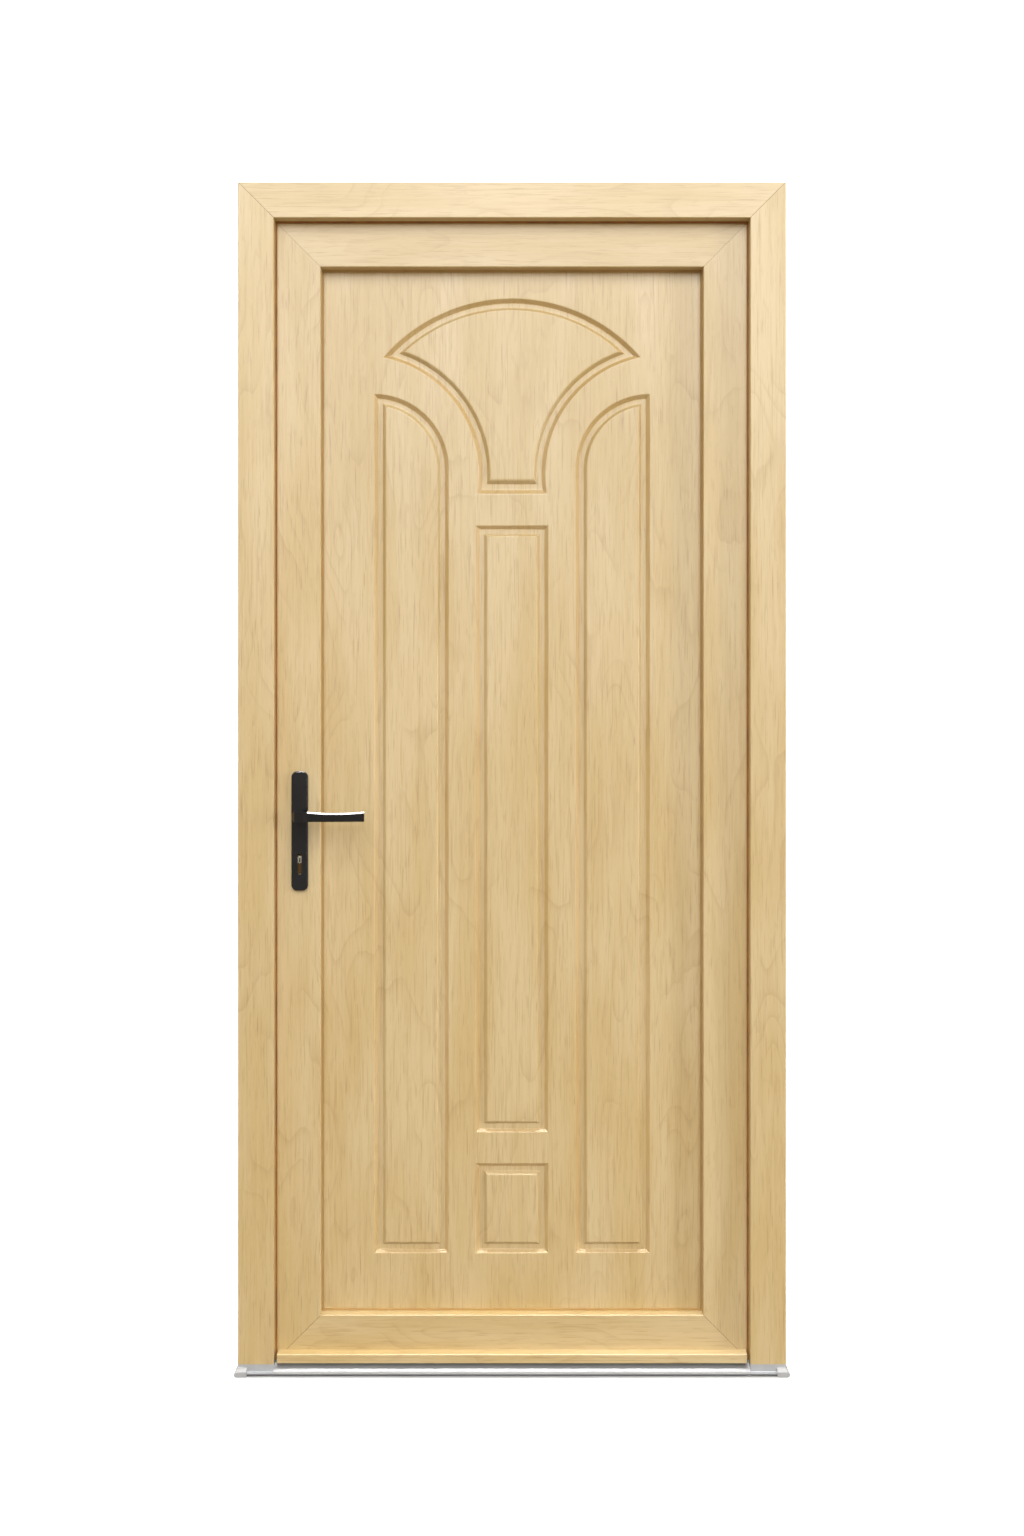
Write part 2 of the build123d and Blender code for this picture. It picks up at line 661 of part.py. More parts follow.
def hardware_cut():
    """What the lock, the cylinder and the handle need taken out of the lock stile."""
    through = (SASH_Y - 1, SASH_ROOM_Y + 1)
    cut = block(
        (CASE_FRONT_X - BAR_GROOVE, CASE_BACK_X),
        (LOCK_Y - CASE_WIDTH / 2 - 1, LOCK_Y + CASE_WIDTH / 2 + 1),
        (CASE_FOOT - 1, CASE_HEAD + 1),
    )
    cut += rod_y(SPINDLE_X, SPINDLE_Z, COLLAR_RADIUS + 1, *through)
    cut += along_y(euro(EURO_RADIUS + 1, EURO_TAIL + 2, EURO_HEIGHT + 2), *through)
    for z in plate_screw_heights():
        cut += rod_y(SPINDLE_X, z, THROUGH_SCREW + 0.5, *through)
    return cut


def backplate():
    """The outside plate, drawn with its front at -Y: a shallow tray with bosses behind."""
    blank = Pos(SPINDLE_X, PLATE_Z) * RectangleRounded(PLATE_WIDTH, PLATE_LENGTH, PLATE_CORNER)
    w = PLATE_WALL
    inside = Pos(SPINDLE_X, PLATE_Z) * RectangleRounded(
        PLATE_WIDTH - 2 * w, PLATE_LENGTH - 2 * w, PLATE_CORNER - w
    )
    plate = along_y(blank, PLATE_FRONT_Y, SASH_Y)
    plate = chamfer(plate.faces().sort_by(Axis.Y)[0].edges(), 1.5)
    floor_y = PLATE_FRONT_Y + w
    plate -= along_y(inside, floor_y, SASH_Y)
    plate += rod_y(SPINDLE_X, SPINDLE_Z, COLLAR_RADIUS + w, floor_y, SASH_Y)
    for z in plate_screw_heights():
        plate += rod_y(SPINDLE_X, z, THROUGH_SCREW + w, floor_y, SASH_Y)
    return plate - rod_y(SPINDLE_X, SPINDLE_Z, COLLAR_RADIUS + RUNNING, PLATE_FRONT_Y - 1, SASH_Y)


def to_room_side(shape):
    """The matching piece on the room side of the sash."""
    return mirror(shape, about=Plane((0, (SASH_Y + SASH_ROOM_Y) / 2, 0), z_dir=(0, 1, 0)))


def backplates():
    outer = backplate()
    slot_z = CYLINDER_Z + EURO_RADIUS - EURO_HEIGHT / 2
    slot = Pos(SPINDLE_X, slot_z) * Rot(0, 0, 90) * SlotOverall(KEYHOLE_LENGTH, KEYHOLE_WIDTH)
    outer -= along_y(slot, PLATE_FRONT_Y - 1, SASH_Y)
    inner = to_room_side(backplate())
    room_y = SASH_ROOM_Y + PLATE_THICKNESS
    inner -= along_y(euro(EURO_RADIUS + 0.2, EURO_TAIL + 0.4, EURO_HEIGHT + 0.4), SASH_ROOM_Y, room_y + 1)
    head = 2.0
    screws = []
    blind_y = PLATE_FRONT_Y + PLATE_WALL
    for z in plate_screw_heights():
        outer -= rod_y(SPINDLE_X, z, THROUGH_SCREW, blind_y, SASH_Y)
        inner -= rod_y(SPINDLE_X, z, THROUGH_SCREW, SASH_ROOM_Y, room_y)
        inner -= rod_y(SPINDLE_X, z, 2 * THROUGH_SCREW, room_y - head, room_y)
        shank = rod_y(SPINDLE_X, z, THROUGH_SCREW, blind_y, room_y - head)
        cap = rod_y(SPINDLE_X, z, 2 * THROUGH_SCREW, room_y - head, room_y)
        screws.append(shank + cap)
    save("backplate_outer", outer)
    save("backplate_inner", inner)
    save("backplate_screws", *screws)


def lever_plan():
    """The lever from above: the neck, a proud hub with two facets and a slightly bowed arm."""
    half_neck = NECK_WIDTH / 2
    hub_end = half_neck + HUB_RISE
    arm = hub_end + HUB_RISE
    tip = LEVER_REACH
    middle = (arm + tip) / 2
    stand = LEVER_STAND
    back = LEVER_STAND - LEVER_THICKNESS
    facet_foot = stand - 2
    facet_head = stand + HUB_RISE - 1

    def at(x, out):
        return (SPINDLE_X + x, PLATE_FRONT_Y - out)

    edges = [
        Line(at(-half_neck, 1), at(-half_neck, facet_foot)),
        Line(at(-half_neck, facet_foot), at(HUB_FACET - half_neck, facet_head)),
        Line(at(HUB_FACET - half_neck, facet_head), at(hub_end, stand + HUB_RISE)),
        Line(at(hub_end, stand + HUB_RISE), at(arm, stand)),
        ThreePointArc(at(arm, stand), at(middle, stand + LEVER_BOW), at(tip, stand - LEVER_TIP_DROP)),
        Line(at(tip, stand - LEVER_TIP_DROP), at(tip, back)),
        ThreePointArc(at(tip, back), at(middle, back + LEVER_BOW), at(arm, back)),
        ThreePointArc(
            at(arm, back), at(half_neck + 0.3 * NECK_SWEEP, back - 0.3 * NECK_SWEEP),
            at(half_neck, back - NECK_SWEEP),
        ),
        Line(at(half_neck, back - NECK_SWEEP), at(half_neck, 1)),
        Line(at(half_neck, 1), at(-half_neck, 1)),
    ]
    return make_face(Wire(edges))


def lever_elevation():
    """The lever from outside: level below, with a waist along the top of the arm."""
    left = SPINDLE_X - NECK_WIDTH / 2
    arm = SPINDLE_X + NECK_WIDTH / 2 + 2 * HUB_RISE
    tip = SPINDLE_X + LEVER_REACH
    low = SPINDLE_Z - LEVER_HEIGHT / 2
    high = SPINDLE_Z + LEVER_HEIGHT / 2
    edges = [
        Line((left, low), (tip, low)),
        Line((tip, low), (tip, high)),
        ThreePointArc((tip, high), ((arm + tip) / 2, low + LEVER_WAIST), (arm, high)),
        Line((arm, high), (left, high)),
        Line((left, high), (left, low)),
    ]
    face = make_face(Wire(edges))
    return fillet(face.vertices().group_by(Axis.X)[0], HUB_CORNER)


def arm_edge(body, axis, which):
    """The long front edge of the lever's arm, along its top or its foot."""
    outer = body.edges().filter_by(lambda edge: edge.length > LEVER_REACH / 2)
    fronts = outer.sort_by(Axis.Y)[:2]
    return fronts.sort_by(axis)[which]


def lever():
    """The outside lever: what its plan and its elevation have in common, with bevelled edges."""
    front = PLATE_FRONT_Y
    low = SPINDLE_Z - LEVER_HEIGHT / 2
    reach = LEVER_STAND + HUB_RISE + 1
    body = Pos(0, 0, low) * extrude(lever_plan(), amount=LEVER_HEIGHT)
    body = (body & along_y(lever_elevation(), front - reach, front)).solids()[0]
    body = chamfer(arm_edge(body, Axis.Z, -1), LEVER_TOP_BEVEL)
    body = chamfer(arm_edge(body, Axis.Z, 0), LEVER_EDGE_BEVEL)
    collar = rod_y(SPINDLE_X, SPINDLE_Z, COLLAR_RADIUS, front - 1, SASH_Y - MOVING)
    body += collar
    socket = block(
        (SPINDLE_X - SPINDLE_SIDE / 2, SPINDLE_X + SPINDLE_SIDE / 2),
        (front - LEVER_SOCKET, SASH_Y),
        (SPINDLE_Z - SPINDLE_SIDE / 2, SPINDLE_Z + SPINDLE_SIDE / 2),
    )
    return body - socket


def handle():
    outer = lever()
    save("lever_outer", outer)
    save("lever_inner", to_room_side(outer))
    half = SPINDLE_SIDE / 2
    room_y = SASH_ROOM_Y + PLATE_THICKNESS + LEVER_SOCKET
    spindle = block(
        (SPINDLE_X - half, SPINDLE_X + half),
        (PLATE_FRONT_Y - LEVER_SOCKET, room_y),
        (SPINDLE_Z - half, SPINDLE_Z + half),
    )
    save("spindle", spindle)


def cylinder():
    """A double cylinder: body, a plug at each end and the cam between them."""
    body = along_y(euro(EURO_RADIUS, EURO_TAIL, EURO_HEIGHT), CYLINDER_OUT_Y, CYLINDER_ROOM_Y)
    gap = CAM_WIDTH / 2 + 0.1
    notch_foot = CYLINDER_Z - CAM_RADIUS - 2
    body -= block(
        (SPINDLE_X - 20, SPINDLE_X + 20), (LOCK_Y - gap, LOCK_Y + gap), (notch_foot, CASE_HEAD)
    )
    plug = (SPINDLE_X, CYLINDER_Z)
    body -= rod_y(*plug, PLUG_RADIUS + RUNNING, CYLINDER_OUT_Y, CYLINDER_ROOM_Y)
    screw_z = CYLINDER_Z + EURO_RADIUS - EURO_HEIGHT + EURO_TAIL / 2
    body -= rod_x(LOCK_Y, screw_z, THROUGH_SCREW, SPINDLE_X - EURO_RADIUS, SPINDLE_X + EURO_RADIUS)
    save("cylinder_body", body)
    shank = rod_x(LOCK_Y, screw_z, THROUGH_SCREW, LOCK_EDGE_X + 2.0, SPINDLE_X + EURO_TAIL / 2)
    cap = rod_x(LOCK_Y, screw_z, SCREW_HEAD, LOCK_EDGE_X, LOCK_EDGE_X + 2.0)
    save("cylinder_screw", shank + cap)
    half_cam = CAM_WIDTH / 2
    keyway = 2.4
    keyway_height = 8.5
    keyway_depth = 24.0
    for name, y0, y1, mouth in (
        ("outer", CYLINDER_OUT_Y, LOCK_Y - half_cam, CYLINDER_OUT_Y),
        ("inner", LOCK_Y + half_cam, CYLINDER_ROOM_Y, CYLINDER_ROOM_Y - keyway_depth),
    ):
        turning = rod_y(*plug, PLUG_RADIUS, y0, y1)
        turning -= block(
            (SPINDLE_X - keyway / 2, SPINDLE_X + keyway / 2), (mouth, mouth + keyway_depth),
            (CYLINDER_Z - keyway_height + 3, CYLINDER_Z + 3),
        )
        save(f"cylinder_plug_{name}", turning)
    cam = rod_y(*plug, PLUG_RADIUS, LOCK_Y - half_cam, LOCK_Y + half_cam)
    cam += block(
        (SPINDLE_X - 3.5, SPINDLE_X + 3.5), (LOCK_Y - half_cam, LOCK_Y + half_cam),
        (CYLINDER_Z - CAM_RADIUS, CYLINDER_Z),
    )
    save("cylinder_cam", cam)
    return screw_z


# Lock

LATCH_FOOT = SPINDLE_Z + LATCH_RISE
LATCH_HEAD = LATCH_FOOT + LATCH_HEIGHT
DEADBOLT_FOOT = SPINDLE_Z - DEADBOLT_DROP
DEADBOLT_HEAD = DEADBOLT_FOOT + DEADBOLT_HEIGHT
BOLT_Y = (LOCK_Y - BOLT_WIDTH / 2, LOCK_Y + BOLT_WIDTH / 2)
OPENING_Y = (BOLT_Y[0] - MOVING, BOLT_Y[1] + MOVING)
SPACER_HEIGHT = 8.0
SPACER_INSET = 4.0
TONGUE_Z = DEADBOLT_HEAD + 10.0
TONGUE_HEIGHT = 6.0
FACEPLATE_FOOT = SASH_FOOT + FACEPLATE_END
FACEPLATE_HEAD = SASH_HEAD - FACEPLATE_END
FACEPLATE_SCREWS = (
    FACEPLATE_FOOT + FACEPLATE_END_SCREW,
    *[SPINDLE_Z + offset for offset in FACEPLATE_SCREW_OFFSETS],
    FACEPLATE_HEAD - FACEPLATE_END_SCREW,
)


def bolt_openings(x0, x1):
    """The ways through a plate for the latch and the deadbolt."""
    latch = block((x0, x1), OPENING_Y, (LATCH_FOOT - MOVING, LATCH_HEAD + MOVING))
    deadbolt = block((x0, x1), OPENING_Y, (DEADBOLT_FOOT - MOVING, DEADBOLT_HEAD + MOVING))
    return latch + deadbolt


def faceplate(screw_z):
    x = (LOCK_EDGE_X, FACEPLATE_BACK_X)
    half = FACEPLATE_WIDTH / 2
    plate = block(x, (LOCK_Y - half, LOCK_Y + half), (FACEPLATE_FOOT, FACEPLATE_HEAD))
    plate -= bolt_openings(*x)
    slot = STUD_NECK + MOVING
    for z in (LOWER_STUD_Z, UPPER_STUD_Z):
        plate -= block(x, (LOCK_Y - slot, LOCK_Y + slot), (z - slot, z + slot + BAR_TRAVEL))
    for z in FACEPLATE_SCREWS:
        plate -= rod_x(LOCK_Y, z, SCREW_RADIUS, *x)
        plate -= rod_x(LOCK_Y, z, SCREW_HEAD, LOCK_EDGE_X, LOCK_EDGE_X + 1.5)
    plate -= rod_x(LOCK_Y, screw_z, THROUGH_SCREW, *x)
    plate -= rod_x(LOCK_Y, screw_z, SCREW_HEAD, LOCK_EDGE_X, LOCK_EDGE_X + 2.0)
    save("lock_faceplate", plate)


def slide_bar():
    """The full-height bar behind the faceplate, with its two mushroom studs riveted in."""
    front = FACEPLATE_BACK_X + MOVING
    x = (front, front + BAR_THICKNESS)
    half = BAR_WIDTH / 2
    bar = block(x, (LOCK_Y - half, LOCK_Y + half), (BAR_END, SASH_HEAD + SASH_FOOT - BAR_END))
    slack = 1.0
    low = CASE_FOOT + SPACER_INSET - SPACER_HEIGHT / 2 - BAR_TRAVEL - slack
    high = CASE_HEAD - SPACER_INSET + SPACER_HEIGHT / 2 + slack
    bar -= block(x, OPENING_Y, (low, TONGUE_Z))
    bar -= block(x, OPENING_Y, (TONGUE_Z + TONGUE_HEIGHT, high))
    tongue_reach = 8.0
    bar += block(
        (x[1], CASE_FRONT_X + tongue_reach), (LOCK_Y - 3, LOCK_Y + 3), (TONGUE_Z, TONGUE_Z + TONGUE_HEIGHT)
    )
    slot = SCREW_RADIUS + 2 * MOVING
    for z in FACEPLATE_SCREWS:
        bar -= block(x, (LOCK_Y - slot, LOCK_Y + slot), (z - slot - BAR_TRAVEL, z + slot))
    tip = LOCK_EDGE_X - KEEPER_THICKNESS - 1.5
    for z in (LOWER_STUD_Z, UPPER_STUD_Z):
        bar += rod_x(LOCK_Y, z, STUD_NECK, LOCK_EDGE_X - 4.5, x[0])
        bar += rod_x(LOCK_Y, z, STUD_RADIUS, tip, LOCK_EDGE_X - 4.5)
    save("lock_slide_bar", bar)


ARM_TIP = 2.5


def lock_case(screw_z):
    front = CASE_FRONT_X
    w = CASE_WALL
    y0 = LOCK_Y - CASE_WIDTH / 2
    y1 = LOCK_Y + CASE_WIDTH / 2
    x = (front, CASE_BACK_X)
    case = block(x, (y0, y1 - w), (CASE_FOOT, CASE_HEAD))
    case -= block((x[0] + w, x[1] - w), (y0 + w, y1 - w), (CASE_FOOT + w, CASE_HEAD - w))
    case -= bolt_openings(x[0], x[0] + w)
    case -= block(
        (x[0], x[0] + w), (LOCK_Y - 3 - MOVING, LOCK_Y + 3 + MOVING),
        (TONGUE_Z - MOVING, TONGUE_Z + TONGUE_HEIGHT + BAR_TRAVEL + MOVING),
    )
    for z in (CASE_FOOT + SPACER_INSET, CASE_HEAD - SPACER_INSET):
        span = (z - SPACER_HEIGHT / 2, z + SPACER_HEIGHT / 2)
        case += block((FACEPLATE_BACK_X, x[0]), (LOCK_Y - 5, LOCK_Y + 5), span)
    cover = block(x, (y1 - w, y1), (CASE_FOOT, CASE_HEAD))
    through = (y0, y1)
    holes = rod_y(SPINDLE_X, SPINDLE_Z, FOLLOWER_RADIUS + RUNNING, *through)
    holes += along_y(euro(EURO_RADIUS + 0.2, EURO_TAIL + 0.4, EURO_HEIGHT + 0.4), *through)
    case -= holes
    case -= rod_x(LOCK_Y, screw_z, THROUGH_SCREW + MOVING, FACEPLATE_BACK_X, x[0] + w)
    cover -= holes
    save("lock_case", case)
    save("lock_case_cover", cover)


def follower():
    """The part the spindle turns: a hub with an arm whose round tip pulls the latch."""
    half_width = CASE_WIDTH / 2
    hub = rod_y(SPINDLE_X, SPINDLE_Z, FOLLOWER_RADIUS, LOCK_Y - half_width, LOCK_Y + half_width)
    arm_y = (LOCK_Y - 4, LOCK_Y + 4)
    tilt = radians(FOLLOWER_SWING / 2)
    tip = (SPINDLE_X - FOLLOWER_ARM * sin(tilt), SPINDLE_Z + FOLLOWER_ARM * cos(tilt))
    hub += rod_y(*tip, ARM_TIP, *arm_y)
    shank = Pos(SPINDLE_X, SPINDLE_Z) * Rot(0, 0, degrees(tilt)) * Pos(0, FOLLOWER_ARM / 2) * Rectangle(
        3.4, FOLLOWER_ARM
    )
    hub += along_y(shank, *arm_y)
    half = SPINDLE_SIDE / 2
    hub -= block(
        (SPINDLE_X - half, SPINDLE_X + half), (SASH_Y, SASH_ROOM_Y), (SPINDLE_Z - half, SPINDLE_Z + half)
    )
    save("lock_follower", hub)


def latch():
    """A sprung bolt with a bevelled nose and a forked tail round the follower's arm."""
    nose = LOCK_EDGE_X - LATCH_THROW
    head_end = LOCK_EDGE_X + 34
    head = outline([
        (nose, BOLT_Y[0]), (head_end, BOLT_Y[0]), (head_end, BOLT_Y[1]),
        (LOCK_EDGE_X, BOLT_Y[1]), (nose, BOLT_Y[0] + 3),
    ])
    bolt = Pos(0, 0, LATCH_FOOT) * extrude(head, amount=LATCH_HEIGHT)
    tilt = radians(FOLLOWER_SWING / 2)
    tip_x = SPINDLE_X - FOLLOWER_ARM * sin(tilt)
    slack = 0.6
    half = ARM_TIP + slack
    prong = 2.0
    tail_foot = SPINDLE_Z + FOLLOWER_ARM - 3
    bolt += block((head_end, tip_x + half + prong), BOLT_Y, (tail_foot, LATCH_HEAD - 3))
    bolt -= block(
        (tip_x - half, tip_x + half), BOLT_Y, (LATCH_FOOT, SPINDLE_Z + FOLLOWER_ARM + ARM_TIP + slack)
    )
    save("latch_bolt", bolt)


def deadbolt():
    end = LOCK_EDGE_X + 44
    bolt = block((LOCK_EDGE_X, end), BOLT_Y, (DEADBOLT_FOOT, DEADBOLT_HEAD))
    bolt = chamfer(bolt.faces().sort_by(Axis.X)[0].edges(), 1.0)
    save("deadbolt", bolt)


# Keepers on the lock jamb

STRIKE_FOOT = DEADBOLT_FOOT - 30
STRIKE_HEAD = LATCH_HEAD + 30
KEEPER_Y = (LOCK_Y - 10.5, ROOM_Y)
STRIKE_SCREWS = (STRIKE_FOOT + 12, (DEADBOLT_HEAD + LATCH_FOOT) / 2, STRIKE_HEAD - 12)


def keeper_screw_heights(stud_z):
    reach = KEEPER_LENGTH / 2 + BAR_TRAVEL / 2 - 8
    middle = stud_z + BAR_TRAVEL / 2
    return middle - reach, middle + reach


def bolt_pocket():
    """The recess in the jamb that the thrown deadbolt reaches into."""
    slack = 2.0
    return block(
        (LOCK_EDGE_X - DEADBOLT_THROW - slack, REBATE_X),
        (BOLT_Y[0] - slack, BOLT_Y[1] + slack),
        (DEADBOLT_FOOT - slack, DEADBOLT_HEAD + slack),
    )


def strike():
    x = (REBATE_X, REBATE_X + KEEPER_THICKNESS)
    slack = 1.0
    plate = block(x, KEEPER_Y, (STRIKE_FOOT, STRIKE_HEAD))
    for foot, head in ((LATCH_FOOT, LATCH_HEAD), (DEADBOLT_FOOT, DEADBOLT_HEAD)):
        plate -= block(x, (BOLT_Y[0] - slack, BOLT_Y[1] + slack), (foot - slack, head + slack))
    for z in STRIKE_SCREWS:
        plate -= rod_x(LOCK_Y, z, SCREW_RADIUS, *x)
        plate -= rod_x(LOCK_Y, z, SCREW_HEAD, x[1] - 2, x[1])
    save("strike_plate", plate)


def keeper(name, stud_z):
    """A hooked block: the stud enters from the room side and slides up behind the hook."""
    middle = stud_z + BAR_TRAVEL / 2
    half = KEEPER_LENGTH / 2 + BAR_TRAVEL / 2
    x = (REBATE_X, REBATE_X + KEEPER_THICKNESS)
    body = block(x, KEEPER_Y, (middle - half, middle + half))
    way = STUD_RADIUS + 0.6
    floor_x = x[0] + 1.0
    body -= block(
        (floor_x, x[1]), (LOCK_Y - way, LOCK_Y + way), (stud_z - way - 1, stud_z + BAR_TRAVEL + way + 1)
    )
    mouth = STUD_RADIUS + 2.5
    body -= block((floor_x, x[1]), (LOCK_Y, ROOM_Y), (stud_z - mouth, stud_z + mouth))
    for z in keeper_screw_heights(stud_z):
        body -= rod_x(LOCK_Y, z, SCREW_RADIUS, *x)
        body -= rod_x(LOCK_Y, z, SCREW_HEAD, x[1] - 2, x[1])
    save(f"keeper_{name}", body)


# Hinges

def leaf_screw_offsets():
    return -HINGE_LENGTH * 0.38, 0.0, HINGE_LENGTH * 0.38


FRAME_LEAF_X = (PIVOT_X - 1.0, PIVOT_X - 1.0 + LEAF_WIDTH)
SASH_LEAF_X = (PIVOT_X - PIVOT_OUT - 4 - SASH_LEAF_WIDTH, PIVOT_X - PIVOT_OUT - 4)
FRAME_SCREW_X = PIVOT_X + 17.0
SASH_SCREW_X = (SASH_LEAF_X[0] + SASH_LEAF_X[1]) / 2


def hinge(name, z):
    half = HINGE_LENGTH / 2
    knuckle = HINGE_LENGTH / 6
    gap = MOVING
    plate = block(FRAME_LEAF_X, (ROOM_Y, ROOM_Y + LEAF_THICKNESS), (z - half, z + half))
    web_x = (PIVOT_X - 3.5, PIVOT_X + 3.5)
    for z0, z1 in ((z - half, z - knuckle - gap), (z + knuckle + gap, z + half)):
        plate += rod_z(PIVOT_X, PIVOT_Y, BARREL_RADIUS, z0, z1)
        plate += block(web_x, (ROOM_Y, PIVOT_Y), (z0, z1))
    plate -= rod_z(PIVOT_X, PIVOT_Y, PIN_RADIUS, z - half, z + half)
    for dz in leaf_screw_offsets():
        plate -= rod_y(FRAME_SCREW_X, z + dz, SCREW_RADIUS, ROOM_Y, ROOM_Y + LEAF_THICKNESS)
        plate -= rod_y(
            FRAME_SCREW_X, z + dz, SCREW_HEAD, ROOM_Y + LEAF_THICKNESS - 2, ROOM_Y + LEAF_THICKNESS
        )
    save(f"hinge_frame_leaf_{name}", plate)
    back_y = SASH_ROOM_Y + LEAF_THICKNESS
    leaf = block(SASH_LEAF_X, (SASH_ROOM_Y, back_y), (z - half, z + half))
    leaf += block((SASH_LEAF_X[1], PIVOT_X), (SASH_ROOM_Y + 2, back_y + 3), (z - knuckle, z + knuckle))
    leaf += rod_z(PIVOT_X, PIVOT_Y, BARREL_RADIUS, z - knuckle, z + knuckle)
    leaf -= rod_z(PIVOT_X, PIVOT_Y, PIN_RADIUS + RUNNING, z - knuckle, z + knuckle)
    for dz in leaf_screw_offsets():
        leaf -= rod_y(SASH_SCREW_X, z + dz, SCREW_RADIUS, SASH_ROOM_Y, back_y)
        leaf -= rod_y(SASH_SCREW_X, z + dz, SCREW_HEAD, back_y - 2, back_y)
    save(f"hinge_sash_leaf_{name}", leaf)


def hinge_pin(z):
    half = HINGE_LENGTH / 2
    pin = rod_z(PIVOT_X, PIVOT_Y, PIN_RADIUS, z - half, z + half)
    pin += rod_z(PIVOT_X, PIVOT_Y, BARREL_RADIUS - 1, z + half, z + half + 4)
    pin += rod_z(PIVOT_X, PIVOT_Y, BARREL_RADIUS - 1, z - half - 4, z - half)
    return pin


# Screws, each with its own hole

def screw_from_room(x, z, head_y):
    shank = rod_y(x, z, SCREW_RADIUS, head_y - SCREW_LENGTH, head_y - 2)
    return shank + rod_y(x, z, SCREW_HEAD, head_y - 2, head_y)


def screw_along_x(z, head_x, side, head_depth):
    """A screw whose head faces one way along X: side is the way its point looks."""
    ends = sorted((head_x + side * head_depth, head_x + side * SCREW_LENGTH))
    heads = sorted((head_x, head_x + side * head_depth))
    return rod_x(LOCK_Y, z, SCREW_RADIUS, *ends) + rod_x(LOCK_Y, z, SCREW_HEAD, *heads)


def frame_screws():
    screws = []
    head_x = REBATE_X + KEEPER_THICKNESS
    heights = list(STRIKE_SCREWS)
    for stud_z in (LOWER_STUD_Z, UPPER_STUD_Z):
        heights += keeper_screw_heights(stud_z)
    for z in heights:
        screws.append(screw_along_x(z, head_x, -1, 2.0))
    for z in HINGE_HEIGHTS.values():
        for dz in leaf_screw_offsets():
            screws.append(screw_from_room(FRAME_SCREW_X, z + dz, ROOM_Y + LEAF_THICKNESS))
    return screws


def sash_screws():
    screws = [screw_along_x(z, LOCK_EDGE_X, 1, 1.5) for z in FACEPLATE_SCREWS]
    for z in HINGE_HEIGHTS.values():
        for dz in leaf_screw_offsets():
            screws.append(screw_from_room(SASH_SCREW_X, z + dz, SASH_ROOM_Y + LEAF_THICKNESS))
    return screws


def cut_each(piece, tools):
    for tool in tools:
        piece -= tool
    return piece


# Frame and sash assembled from their members

FIXING_Y = FACE_Y + MAIN_CHAMBER_V + 13.0
KEEPER_SCREW_COUNT = len(STRIKE_SCREWS) + 4


def wall_fixings(side):
    """Holes through a jamb, from the rebate to the wall."""
    x = sorted((side * (HALF_WIDTH - REBATE - 1), side * (HALF_WIDTH + 1)))
    return [rod_x(FIXING_Y, z, WALL_FIXING_RADIUS, *x) for z in WALL_FIXING_HEIGHTS]


def frame(screws):
    left, head, right = arch(frame_section(), FACE_Y, THRESHOLD_RISE)
    steel_left, _, steel_right = arch(frame_steel_section(), FACE_Y, THRESHOLD_RISE)
    lock_cuts = [*wall_fixings(-1), *screws[:KEEPER_SCREW_COUNT], bolt_pocket()]
    hinge_cuts = [*wall_fixings(1), *screws[KEEPER_SCREW_COUNT:]]
    save("frame_jamb_left", cut_each(left, lock_cuts))
    save("frame_jamb_right", cut_each(right, hinge_cuts))
    save("frame_head", head)
    save("jamb_steel_left", cut_each(steel_left, lock_cuts))
    save("jamb_steel_right", cut_each(steel_right, hinge_cuts))
    gasket = arch(frame_gasket_section(), FACE_Y, THRESHOLD_RISE)
    save("frame_gasket", gasket[0] + gasket[1] + gasket[2])


def joined(solids):
    whole = solids[0]
    for solid in solids[1:]:
        whole += solid
    return whole


def sawn_foot():
    """What the saw takes off the foot of the stiles, with the groove for the foot's gasket."""
    reach = SASH_HALF + OVERLAP
    width = (-reach, reach)
    below = FOOT_LINE - 2 * OVERLAP
    cut = block(width, (SASH_Y, OVERLAP_Y), (below, SASH_FOOT))
    cut += block(width, (OVERLAP_Y, SASH_ROOM_Y), (below, SASH_FOOT - OVERLAP))
    groove_end = SASH_HALF + OVERLAP_SEAL_FAR
    return cut + block(
        (-groove_end, groove_end), (OVERLAP_Y, OVERLAP_Y + SEAL_GROOVE),
        (SASH_FOOT - OVERLAP_SEAL_FAR, SASH_FOOT - OVERLAP_SEAL_NEAR),
    )


